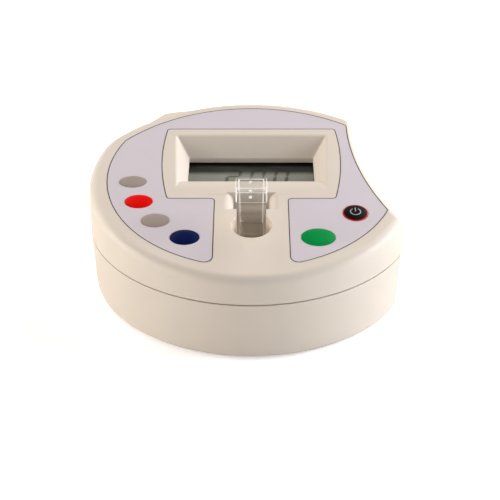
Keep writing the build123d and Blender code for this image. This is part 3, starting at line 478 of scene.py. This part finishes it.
def raise_dip(work, face_level):
    """Raises the points of the dip to the face, and gives back those that it moved."""
    raised = set()
    for vertex in work.verts:
        depth = face_level - vertex.co.dot(face_out)
        x = abs(vertex.co.x - AXIS_X)
        y = vertex.co.dot(face_back) - FACE_AXIS_Y
        if depth < DIP_DEPTH and DIP_INNER_X < x < DIP_OUTER_X and DIP_FRONT_Y < y < DIP_BACK_Y:
            vertex.co += face_out * depth
            raised.add(vertex)
    return raised


shell_mesh = nodes["upper_shell"].data.copy()
keep_normals(shell_mesh)
shell_work = bmesh.new()
shell_work.from_mesh(shell_mesh)
bmesh.ops.remove_doubles(shell_work, verts=shell_work.verts, dist=MERGE_DISTANCE)
face_level = max(vertex.co.dot(face_out) for vertex in shell_work.verts)
raised_points = raise_dip(shell_work, face_level)
kept_layer = shell_work.loops.layers.float_vector[NORMAL_LAYER]
for polygon in shell_work.faces:
    level = all(face_level - vertex.co.dot(face_out) < LEVEL_TOLERANCE for vertex in polygon.verts)
    if level and raised_points.intersection(polygon.verts):
        for corner in polygon.loops:
            corner[kept_layer] = face_out
shell_work.to_mesh(shell_mesh)
print("upper shell:", len(shell_mesh.polygons), "faces,", len(raised_points), "points raised")
shell_work.free()
restore_normals(shell_mesh)
shell = add_piece("upper_shell_moulding", shell_mesh, "instrument")
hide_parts("upper_shell")

# %% [markdown]
# ## Groove round the film
# The film doesn't quite fill its pocket, and the narrow gap lies in shade. A thin dark strip laid in the
# gap paints that shade in, which draws the film's outline clearly. The strip follows the film's own outer
# edge, so it is made from that edge: each point of it is pushed out by the width of the gap.

# %% Groove round the film
GAP_WIDTH = 0.42 * MM
FACING_OUT = 0.999


def outer_loop(work, outward):
    """Corner points, in order, of the longest border round the faces that look outward."""
    tops = {face for face in work.faces if face.normal.dot(outward) > FACING_OUT}
    following = {}
    for face in tops:
        for loop in face.loops:
            if not tops.issuperset(loop.edge.link_faces):
                following.setdefault(loop.vert, loop.link_loop_next.vert)
    longest = []
    while following:
        start, point = following.popitem()
        chain = [start]
        while point != start and point in following:
            chain.append(point)
            point = following.pop(point)
        longest = max(longest, chain, key=len)
    return [vertex.co.copy() for vertex in longest]


film_work = bmesh.new()
film_work.from_mesh(nodes["overlay_panel"].data)
bmesh.ops.remove_doubles(film_work, verts=film_work.verts, dist=MERGE_DISTANCE)
border = outer_loop(film_work, face_out)
film_work.free()
count = len(border)
pushed = []
for index, point in enumerate(border):
    along = (border[(index + 1) % count] - border[index - 1]).normalized()
    pushed.append(point + along.cross(face_out) * GAP_WIDTH)
groove_mesh = bpy.data.meshes.new("film_groove")
# Dark strip in the gap: painted shade of the groove.
groove_shade = moulded_plastic("film groove, painted shade", ("362c26", "43372f"), roughness=0.7,
                           grain_size=0.3 * MM, grain_depth=0.01 * MM)
dress(groove_mesh, groove_shade)
corners = [point + face_out * INK_LIFT for point in border + pushed]
strips = []
for index in range(count):
    after = (index + 1) % count
    strips.append((index, count + index, count + after, after))
groove_mesh.from_pydata(corners, [], strips)
add_piece("film_groove", groove_mesh, "instrument")
print("groove:", count, "steps")

# %% [markdown]
# ## Key caps
# Each key cap is a moulded oval with a domed top, and its rim is a little rounded, so that it shades off
# softly into the film round it. The CAD caps have the dome, but sharp rims. In the copies that stand in
# for them, what rises above the film is pressed flat, and a new crown is built over it, ring by ring: an
# upright side, a rounded rim and a dome like a cushion. The power key's rim is printed red.

# %% Key caps
DOME_DROP = 0.74 * MM
CUSHION = 1.5
RIM_ROUNDING = 0.13 * MM
RIM_STEPS = 6
DOME_STEPS = 12
DOME_SPREAD = 1.3
CROWN_STEPS = 64
PRESSED_HEIGHT = 0.02 * MM
INKED_STRIPS = RIM_STEPS + 2


def dome_height(spans, x, y):
    """Outward height of a key's dome at a place on it. The spans are the key's height and half sizes."""
    key_top, half_x, half_y = spans
    return key_top - DOME_DROP * ((x / half_x) ** 2 + (y / half_y) ** 2) ** CUSHION


def crown_rings(spans, foot):
    """Rings of a crown, from its foot to near its pole, as lists of x, y and height."""
    half_x, half_y = spans[1:]
    turns = [2 * pi * step / CROWN_STEPS for step in range(CROWN_STEPS)]
    rings = [[(half_x * cos(turn), half_y * sin(turn), foot) for turn in turns]]
    for step in range(RIM_STEPS + 1):
        angle = step / RIM_STEPS * pi / 2
        inward = RIM_ROUNDING * (1 - cos(angle))
        ring = []
        for turn in turns:
            inner_x, inner_y = (half_x - RIM_ROUNDING) * cos(turn), (half_y - RIM_ROUNDING) * sin(turn)
            height = dome_height(spans, inner_x, inner_y) - RIM_ROUNDING * (1 - sin(angle))
            ring.append(((half_x - inward) * cos(turn), (half_y - inward) * sin(turn), height))
        rings.append(ring)
    rim_ring = rings[-1]
    for step in range(1, DOME_STEPS):
        scale = 1 - (step / DOME_STEPS) ** DOME_SPREAD
        places = [(x * scale, y * scale) for x, y, height in rim_ring]
        rings.append([(x, y, dome_height(spans, x, y)) for x, y in places])
    return rings


def key_cap(node_name, body_material, rim_material):
    """Copy of a key, pressed flat above the film, with a crown over it whose rim has its own material."""
    middle_x, middle_y, *spans = extent(node_name, FACE_TILT)
    pressed = extent("overlay_panel", FACE_TILT)[2] + PRESSED_HEIGHT
    mesh = nodes[node_name].data.copy()
    dress(mesh, body_material, rim_material)
    work = bmesh.new()
    work.from_mesh(mesh)
    bmesh.ops.remove_doubles(work, verts=work.verts, dist=MERGE_DISTANCE)
    for vertex in work.verts:
        over = vertex.co.dot(face_out) - pressed
        if over > 0:
            vertex.co -= face_out * over
    middle = face_right * middle_x + face_back * middle_y
    rows = []
    for ring in crown_rings(spans, pressed):
        rows.append([work.verts.new(middle + face_right * x + face_back * y + face_out * height)
                     for x, y, height in ring])
    pole = work.verts.new(middle + face_out * spans[0])
    for index, (low, high) in enumerate(zip(rows, rows[1:])):
        for step in range(CROWN_STEPS):
            after = (step + 1) % CROWN_STEPS
            face = work.faces.new((low[step], low[after], high[after], high[step]))
            face.smooth = True
            face.material_index = 1 if index < INKED_STRIPS else 0
    for step in range(CROWN_STEPS):
        face = work.faces.new((rows[-1][step], rows[-1][(step + 1) % CROWN_STEPS], pole))
        face.smooth = True
    work.to_mesh(mesh)
    work.free()
    return mesh


red_ink = moulded_plastic("pad print red, cured ink", ("d40c0c", "e01410"), roughness=0.42,
                          grain_size=0.2 * MM, grain_depth=0.002 * MM, gloss=0.25)
caps = {
    "recall": (key_grey, "key_grey"), "reset": (key_red, "key_red"), "memory": (key_grey, "key_grey"),
    "blank": (key_navy, "key_navy"), "sample": (key_green, "key_green"), "power": (key_black, "key_black"),
}
for key, (material, slot) in caps.items():
    cap_mesh = key_cap(f"{key}_key", material, red_ink if key == "power" else material)
    cap = add_piece(f"{key}_key_cap", cap_mesh, f"{key}_button")
    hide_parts(f"{key}_key")
    print(key, "cap:", len(cap_mesh.polygons), "faces")

# %% [markdown]
# ## Sign on the power key
# The usual standby sign: a ring, open at the top, and a bar through the gap. It is pad printed, so it
# follows the dome. Both are cut into short pieces, and the dome's own rule gives the height of each point.

# %% Sign on the power key
SIGN_RADIUS = 2.3 * MM
SIGN_LINE = 0.5 * MM
SIGN_GAP = radians(30)
SIGN_STEPS = 48
BAR_LOW = 0.05 * MM
BAR_HIGH = 2.9 * MM
BAR_STEPS = 10
key_x, key_y, *key_spans = extent("power_key", FACE_TILT)


def on_dome(x, y):
    """Outward height of the ink at a place on the key."""
    return dome_height(key_spans, x, y) + INK_LIFT


def ring_pieces(inner, outer, start, end, steps):
    """Quads between two circles, from one angle to another."""
    quads = []
    for step in range(steps):
        a, b = (start + (end - start) * k / steps for k in (step, step + 1))
        quads.append([(inner * cos(a), inner * sin(a)), (outer * cos(a), outer * sin(a)),
                      (outer * cos(b), outer * sin(b)), (inner * cos(b), inner * sin(b))])
    return quads


def bar_pieces(half_width, start, end, steps):
    """Quads of an upright bar, from one height to another."""
    quads = []
    for step in range(steps):
        low, high = (start + (end - start) * k / steps for k in (step, step + 1))
        quads.append([(-half_width, low), (half_width, low), (half_width, high), (-half_width, high)])
    return quads


half_line = SIGN_LINE / 2
sign = ring_pieces(SIGN_RADIUS - half_line, SIGN_RADIUS + half_line,
                   pi / 2 + SIGN_GAP, 5 * pi / 2 - SIGN_GAP, SIGN_STEPS)
sign += bar_pieces(half_line, BAR_LOW, BAR_HIGH, BAR_STEPS)
grey_ink = moulded_plastic("pad print grey, cured ink", ("9c9c9e", "a6a6a8"), roughness=0.42,
                           grain_size=0.2 * MM, grain_depth=0.002 * MM)
sign_mesh = lay_flat(sign, key_x, key_y, on_dome, FACE_TILT, "power_key_sign", grey_ink)
add_piece("power_key_sign", sign_mesh, "power_button")
print("sign:", len(sign_mesh.polygons), "faces")

# %% [markdown]
# ## Digits on the display
# The reading is made of seven-segment digits that lean to the right. Segments are all alike, so Geometry
# Nodes makes one bar, a stretched hexagon, and sets it on a point for each segment that is switched on.
# A point carries its own turn as an attribute: level for the three cross bars, upright and leaning for
# the four side bars.

# %% Digits on the display
DIGIT_HEIGHT = 12.7 * MM
DIGIT_WIDTH = 7.4 * MM
DIGIT_PITCH = 11.5 * MM
DIGIT_LEAN = radians(8)
DIGIT_TOP = 6.3 * MM
LAST_DIGIT_X = 14.5 * MM
SEGMENT_WIDTH = 1.75 * MM
SEGMENT_GAP = 0.35 * MM
SEGMENT_LIFT = 0.02 * MM
HEXAGON_WIDTH = sqrt(3)
READING = "200"
SEGMENTS = {"2": "abdeg", "0": "abcdef"}


def segment_spots():
    """Middle and turn of each bar in a digit, from the digit's own middle."""
    across = (DIGIT_WIDTH - SEGMENT_WIDTH) / 2
    up = (DIGIT_HEIGHT - SEGMENT_WIDTH) / 2
    return {
        "a": (0, up, 0), "g": (0, 0, 0), "d": (0, -up, 0),
        "b": (across, up / 2, pi / 2), "c": (across, -up / 2, pi / 2),
        "e": (-across, -up / 2, pi / 2), "f": (-across, up / 2, pi / 2),
    }


def lit_bars():
    """Place and turn of every bar that is switched on, from the middle of the glass, leaning included."""
    bars = []
    digit_y = DIGIT_TOP - DIGIT_HEIGHT / 2
    for index, digit in enumerate(READING):
        digit_x = LAST_DIGIT_X - (len(READING) - 1 - index) * DIGIT_PITCH
        for letter in SEGMENTS[digit]:
            x, y, turn = segment_spots()[letter]
            lean = DIGIT_LEAN if turn else 0
            bars.append((digit_x + x + y * sin(DIGIT_LEAN), digit_y + y, turn - lean))
    return bars


def bar_tree():
    """Node tree: a stretched hexagon on each point, turned by the point's own attribute."""
    tree = bpy.data.node_groups.new("display bars", "GeometryNodeTree")
    face = tree.interface
    face.new_socket("Points", in_out="INPUT", socket_type="NodeSocketGeometry")
    length = face.new_socket("Bar Length", in_out="INPUT", socket_type="NodeSocketFloat")
    width = face.new_socket("Bar Width", in_out="INPUT", socket_type="NodeSocketFloat")
    finish = face.new_socket("Finish", in_out="INPUT", socket_type="NodeSocketMaterial")
    face.new_socket("Bars", in_out="OUTPUT", socket_type="NodeSocketGeometry")
    given = add_node(tree, "NodeGroupInput")
    result = add_node(tree, "NodeGroupOutput")
    hexagon = add_node(tree, "GeometryNodeMeshCircle", fill_type="NGON", Vertices=6, Radius=1.0)
    size = add_node(tree, "ShaderNodeCombineXYZ",
                    [(given.outputs["Bar Length"], "X"), (given.outputs["Bar Width"], "Y")], Z=1.0)
    stretched = add_node(tree, "GeometryNodeTransform",
                         [(hexagon.outputs["Mesh"], "Geometry"), (size.outputs["Vector"], "Scale")])
    turn = add_node(tree, "GeometryNodeInputNamedAttribute", data_type="FLOAT_VECTOR", Name="turn")
    spots = add_node(tree, "GeometryNodeMeshToPoints", [(given.outputs["Points"], "Mesh")])
    placed = add_node(tree, "GeometryNodeInstanceOnPoints",
                      [(spots.outputs["Points"], "Points"), (stretched.outputs["Geometry"], "Instance"),
                       (turn.outputs["Attribute"], "Rotation")])
    real = add_node(tree, "GeometryNodeRealizeInstances", [(placed.outputs["Instances"], "Geometry")])
    dressed = add_node(tree, "GeometryNodeSetMaterial",
                       [(real.outputs["Geometry"], "Geometry"), (given.outputs["Finish"], "Material")])
    tree.links.new(dressed.outputs["Geometry"], result.inputs["Bars"])
    return tree, length.identifier, width.identifier, finish.identifier


def bars_mesh():
    """Flat mesh of all lit bars, evaluated from the node tree."""
    bars = lit_bars()
    points = bpy.data.meshes.new("display points")
    points.from_pydata([(x, y, 0) for x, y, turn in bars], [], [])
    turns = points.attributes.new("turn", "FLOAT_VECTOR", "POINT")
    for value, (x, y, turn) in zip(turns.data, bars):
        value.vector = (0, 0, turn)
    carrier = bpy.data.objects.new("display points", points)
    scene.collection.objects.link(carrier)
    tree, length, width, finish = bar_tree()
    modifier = carrier.modifiers.new("display bars", "NODES")
    modifier.node_group = tree
    modifier[length] = (DIGIT_HEIGHT - SEGMENT_WIDTH) / 4 - SEGMENT_GAP / 2 + SEGMENT_WIDTH / 4
    modifier[width] = SEGMENT_WIDTH / HEXAGON_WIDTH
    modifier[finish] = lcd_segment
    carrier.update_tag()
    depsgraph = bpy.context.evaluated_depsgraph_get()
    mesh = bpy.data.meshes.new_from_object(carrier.evaluated_get(depsgraph))
    carrier.modifiers.clear()
    bpy.data.objects.remove(carrier)
    return mesh


glass_y, glass_top = extent("lcd_glass", DISPLAY_TILT)[1:3]
flat_bars = bars_mesh()
outlines = []
for polygon in flat_bars.polygons:
    outlines.append([flat_bars.vertices[index].co.xy for index in polygon.vertices])
digit_mesh = lay_flat(outlines, AXIS_X, glass_y, glass_top + SEGMENT_LIFT, DISPLAY_TILT, "display_digits",
                      lcd_segment)
add_piece("display_digits", digit_mesh, "instrument")
print(len(outlines), "bars switched on")

# %% [markdown]
# ## Cuvette
# A disposable cuvette is one thin polystyrene moulding, so clear that mostly its edges show. Its rounded
# edges on the collar and in the mouth get a hazy white: a painted highlight for the light they catch. Its
# inner walls flare a little, so that the mould's core comes out, and a ledge marks where the wide mouth
# ends and the narrow chamber begins. The CAD solid has sharp edges and upright walls, so a copy of it,
# flared, with its edges rounded, stands in its place. Its rim is lower by the height of a pip that stands
# on it, so that the whole keeps the real height.

# %% Cuvette
CUVETTE_EDGE = 0.38 * MM
EDGE_STEPS = 3
LEDGE_HEIGHT = 52.8 * MM
LEDGE_BAND = 1.0 * MM
LEDGE_DROP = 2.2 * MM
MOUTH_FLARE = 1.08
COLLAR_FOOT = 61.5 * MM
CAVITY_HALF = 5.6 * MM
RIM_BAND = 0.7 * MM
PIP_RISE = 0.35 * MM
FLAT_ANGLE = radians(1)
SHARP_ANGLE = radians(40)
SHADING_ANGLE = radians(35)
POLISHED, EDGE_HIGHLIGHT, THIN = 0, 1, 2
cuvette_x, cuvette_y, rim_top = extent("cuvette", 0)[:3]


def softened_copy(node_name, *materials):
    """Mesh copy of a node with its points merged and its sharp edges rounded in the second material."""
    mesh = nodes[node_name].data.copy()
    dress(mesh, *materials)
    work = bmesh.new()
    work.from_mesh(mesh)
    bmesh.ops.remove_doubles(work, verts=work.verts, dist=MERGE_DISTANCE)
    bmesh.ops.dissolve_limit(work, angle_limit=FLAT_ANGLE, verts=work.verts, edges=work.edges)
    sharp = [edge for edge in work.edges
             if len(edge.link_faces) == 2 and edge.calc_face_angle() > SHARP_ANGLE]
    bmesh.ops.bevel(work, geom=sharp, offset=CUVETTE_EDGE, segments=EDGE_STEPS, profile=0.5,
                    affect="EDGES", clamp_overlap=True, material=EDGE_HIGHLIGHT)
    bmesh.ops.recalc_face_normals(work, faces=work.faces)
    work.to_mesh(mesh)
    work.free()
    return mesh


def inside_cavity(point):
    """Whether a point lies between the cavity's walls, at any height."""
    return abs(point.x - cuvette_x) < CAVITY_HALF and abs(point.y - cuvette_y) < CAVITY_HALF


def shape_mouth(point):
    """Flares the mouth, lowers the ledge and brings the rim down by a pip's height."""
    if inside_cavity(point) and point.z > LEDGE_HEIGHT - LEDGE_BAND:
        share = max((point.z - LEDGE_HEIGHT) / (rim_top - LEDGE_HEIGHT), 0)
        flare = 1 + (MOUTH_FLARE - 1) * share
        point.x = cuvette_x + (point.x - cuvette_x) * flare
        point.y = cuvette_y + (point.y - cuvette_y) * flare
        point.z -= LEDGE_DROP * (1 - share)
    if point.z > rim_top - RIM_BAND:
        point.z -= PIP_RISE


cuvette_mesh = softened_copy("cuvette", polystyrene, edge_highlight, thin_polystyrene)
for vertex in cuvette_mesh.vertices:
    shape_mouth(vertex.co)
for polygon in cuvette_mesh.polygons:
    polygon.use_smooth = True
    centre = polygon.center
    # Rounded edges keep the hazy white, the painted highlight, only on the collar and in the mouth.
    white_edge_zone = centre.z > COLLAR_FOOT or (inside_cavity(centre) and centre.z > LEDGE_HEIGHT)
    if not white_edge_zone:
        polygon.material_index = POLISHED
    if polygon.material_index == POLISHED and centre.z > LEDGE_HEIGHT:
        polygon.material_index = THIN
cuvette_mesh.set_sharp_from_angle(angle=SHADING_ANGLE)
cuvette = add_piece("cuvette_moulding", cuvette_mesh, "cuvette_body")
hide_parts("cuvette")
print("cuvette:", len(cuvette_mesh.polygons), "faces")

# %% [markdown]
# ## Pips on the cuvette
# Three small white pips stand on the cuvette: one on the rim, one on the collar's face, and one inside,
# on the back wall. Each is a low dome, made ring by ring up to its pole.

# %% Pips on the cuvette
PIP_RADIUS = 0.75 * MM
PIP_STEPS = 24
PIP_RINGS = 4
PIP_SIDE = -0.4 * MM
RIM_PIP_FORWARD = 5.5 * MM
FACE_PIP_FORWARD = 6.85 * MM
FACE_PIP_DROP = 2.7 * MM
BACK_PIP_BACKWARD = 5.2 * MM
BACK_PIP_DROP = 1.7 * MM
SIDEWAYS = Vector((1, 0, 0))
FORWARD = Vector((0, -1, 0))
UPWARD = Vector((0, 0, 1))


def add_pip(work, centre, outward):
    """Low dome standing on a face, made ring by ring up to its pole."""
    side = outward.cross(SIDEWAYS)
    turns = [2 * pi * step / PIP_STEPS for step in range(PIP_STEPS)]
    rings = []
    for ring in range(PIP_RINGS):
        angle = ring / PIP_RINGS * pi / 2
        reach = PIP_RADIUS * cos(angle)
        middle = centre + outward * PIP_RISE * sin(angle)
        rings.append([work.verts.new(middle + SIDEWAYS * reach * cos(turn) + side * reach * sin(turn))
                      for turn in turns])
    pole = work.verts.new(centre + outward * PIP_RISE)
    for low, high in zip(rings, rings[1:]):
        for step in range(PIP_STEPS):
            after = (step + 1) % PIP_STEPS
            work.faces.new((low[step], low[after], high[after], high[step]))
    for step in range(PIP_STEPS):
        work.faces.new((rings[-1][step], rings[-1][(step + 1) % PIP_STEPS], pole))


pip_white = moulded_plastic("cuvette pip, white polystyrene", ("fbfaf8", "ffffff"), roughness=0.3,
                            grain_size=0.3 * MM, grain_depth=0.002 * MM)
pips_mesh = bpy.data.meshes.new("cuvette_pips")
dress(pips_mesh, pip_white)
pips_work = bmesh.new()
pip_x = cuvette_x + PIP_SIDE
add_pip(pips_work, Vector((pip_x, cuvette_y - RIM_PIP_FORWARD, rim_top - PIP_RISE)), UPWARD)
add_pip(pips_work, Vector((pip_x, cuvette_y - FACE_PIP_FORWARD, rim_top - FACE_PIP_DROP)), FORWARD)
add_pip(pips_work, Vector((pip_x, cuvette_y + BACK_PIP_BACKWARD, rim_top - BACK_PIP_DROP)), FORWARD)
bmesh.ops.recalc_face_normals(pips_work, faces=pips_work.faces)
pips_work.to_mesh(pips_mesh)
pips_work.free()
add_piece("cuvette_pips", pips_mesh, "cuvette_body")
print("pips:", len(pips_mesh.polygons), "faces")

# %% [markdown]
# ## Camera
# The photograph was taken with a longer lens from the front and above. Place, aim and focal length come
# from fitting the CAD outline to the photograph's.

# %% Camera
FOCAL_LENGTH = 90
SENSOR_WIDTH = 36
NEAR_CLIP = 50 * MM
CAMERA_PLACE = Vector((3.28, -532.75, 321.9)) * MM
CAMERA_AIM = Vector((3.28, -42.85, 28.5)) * MM
camera_data = bpy.data.cameras.new("camera")
camera_data.lens = FOCAL_LENGTH
camera_data.sensor_width = SENSOR_WIDTH
camera_data.clip_start = NEAR_CLIP
camera = bpy.data.objects.new("camera", camera_data)
scene.collection.objects.link(camera)
camera.location = CAMERA_PLACE
camera.rotation_euler = (CAMERA_AIM - CAMERA_PLACE).to_track_quat("-Z", "Y").to_euler()
scene.camera = camera
print("camera at", [round(v, 3) for v in camera.location])

# %% [markdown]
# ## Bench
# The instrument stands on a bench painted matt white. The bench glows a little for the camera alone, more
# so where the lamps no longer reach it, so that it is white all over and still keeps the shadow.

# %% Bench
BENCH_HALF = 3.0
BENCH_GLOW = 0.40
LIT_RADIUS = 0.35
DIM_RADIUS = 0.9
bench_mesh = bpy.data.meshes.new("floor")
bench_corners = [(x * BENCH_HALF, y * BENCH_HALF, 0) for x, y in ((-1, -1), (1, -1), (1, 1), (-1, 1))]
bench_mesh.from_pydata(bench_corners, [], [(0, 1, 2, 3)])
bench, bench_tree, bench_shader = new_material("bench, matt white paint", Roughness=0.85,
                                               Base_Color=linear("f6f5f3"), Emission_Color=WHITE)
bench_rays = add_node(bench_tree, "ShaderNodeLightPath")
bench_reach = add_node(bench_tree, "ShaderNodeVectorMath", [(object_place(bench_tree), 0)],
                       operation="LENGTH")
bench_glow = add_node(bench_tree, "ShaderNodeMapRange", [(bench_reach.outputs["Value"], "Value")],
                      From_Min=LIT_RADIUS, From_Max=DIM_RADIUS, To_Min=BENCH_GLOW, To_Max=1.0)
bench_lift = add_node(bench_tree, "ShaderNodeMath",
                      [(bench_rays.outputs["Is Camera Ray"], 0), (bench_glow.outputs["Result"], 1)],
                      operation="MULTIPLY")
bench_tree.links.new(bench_lift.outputs["Value"], bench_shader.inputs["Emission Strength"])
dress(bench_mesh, bench)
floor = bpy.data.objects.new("floor", bench_mesh)
scene.collection.objects.link(floor)
print("bench ready")

# %% [markdown]
# ## Room
# The room gives a weak even light, more of it from the front than from behind, which keeps the front of
# the case from going dark. What the camera sees past the bench and through clear plastic, and what low
# mirror images show, is a plain white backdrop instead, as in a photographer's tent.

# %% Room
ROOM_FRONT = 0.21
ROOM_BACK = 0.03
ROOM_FRONT_Y = -0.85
ROOM_BACK_Y = 0.1
BACKDROP_TOP = 0.50
world = bpy.data.worlds.new("studio")
scene.world = world
world.use_nodes = True
sky_tree = world.node_tree
room = sky_tree.nodes["Background"]
room.inputs["Color"].default_value = WHITE
backdrop = add_node(sky_tree, "ShaderNodeBackground", Color=WHITE, Strength=1.0)
direction = add_node(sky_tree, "ShaderNodeTexCoord").outputs["Generated"]
parts = add_node(sky_tree, "ShaderNodeSeparateXYZ", [(direction, "Vector")])
ahead = add_node(sky_tree, "ShaderNodeMapRange", [(parts.outputs["Y"], "Value")],
                 interpolation_type="SMOOTHSTEP", From_Min=ROOM_FRONT_Y, From_Max=ROOM_BACK_Y,
                 To_Min=ROOM_FRONT, To_Max=ROOM_BACK)
sky_tree.links.new(ahead.outputs["Result"], room.inputs["Strength"])
low_enough = add_node(sky_tree, "ShaderNodeMath", [(parts.outputs["Z"], 0)], operation="LESS_THAN")
low_enough.inputs[1].default_value = BACKDROP_TOP
rays = add_node(sky_tree, "ShaderNodeLightPath")
mirrored = add_node(sky_tree, "ShaderNodeMath",
                    [(rays.outputs["Is Glossy Ray"], 0), (low_enough.outputs["Value"], 1)],
                    operation="MULTIPLY")
through = add_node(sky_tree, "ShaderNodeMath",
                   [(rays.outputs["Is Camera Ray"], 0), (rays.outputs["Is Transmission Ray"], 1)],
                   operation="MAXIMUM")
seen = add_node(sky_tree, "ShaderNodeMath",
                [(mirrored.outputs["Value"], 0), (through.outputs["Value"], 1)], operation="MAXIMUM")
sky_mix = add_node(sky_tree, "ShaderNodeMixShader",
                   [(seen.outputs["Value"], 0), (room.outputs["Background"], 1),
                    (backdrop.outputs["Background"], 2)])
sky_tree.links.new(sky_mix.outputs["Shader"], sky_tree.nodes["World Output"].inputs["Surface"])
print("room ready")

# %% [markdown]
# ## Soft boxes
# Six soft boxes stand round the instrument. The strongest stands low on the right and burns out the faces
# turned to it. Weaker and warmer ones stand on the left, two look in from behind and two weak ones from
# the front. So the rounded rim, which faces forward and up, is the darkest band of the case.

# %% Soft boxes
LAMP_SIZE = 0.5
LAMP_AIM = Vector((0, 0, 0.03))
COOL = (0.95, 0.96, 1.0)
NEUTRAL = (1.0, 0.95, 0.89)
WARM = (1.0, 0.94, 0.87)


def soft_box(name, place, watts, colour):
    """Square area lamp aimed at the middle of the instrument."""
    data = bpy.data.lights.new(name, "AREA")
    data.size = LAMP_SIZE
    data.energy = watts
    data.color = colour
    lamp = bpy.data.objects.new(name, data)
    scene.collection.objects.link(lamp)
    lamp.location = place
    lamp.rotation_euler = (LAMP_AIM - lamp.location).to_track_quat("-Z", "Y").to_euler()


soft_box("right soft box", (0.95, 0.0, 0.35), 9.8, COOL)
soft_box("right rear soft box", (0.62, 0.62, 0.70), 7.0, NEUTRAL)
soft_box("right front soft box", (0.7, -0.6, 0.3), 1.2, COOL)
soft_box("left soft box", (-0.95, 0.0, 0.35), 6.5, WARM)
soft_box("left rear soft box", (-0.62, 0.62, 0.70), 3.6, WARM)
soft_box("left front soft box", (-0.7, -0.6, 0.3), 2.2, WARM)
scene.view_settings.view_transform = "Standard"
print("studio ready")
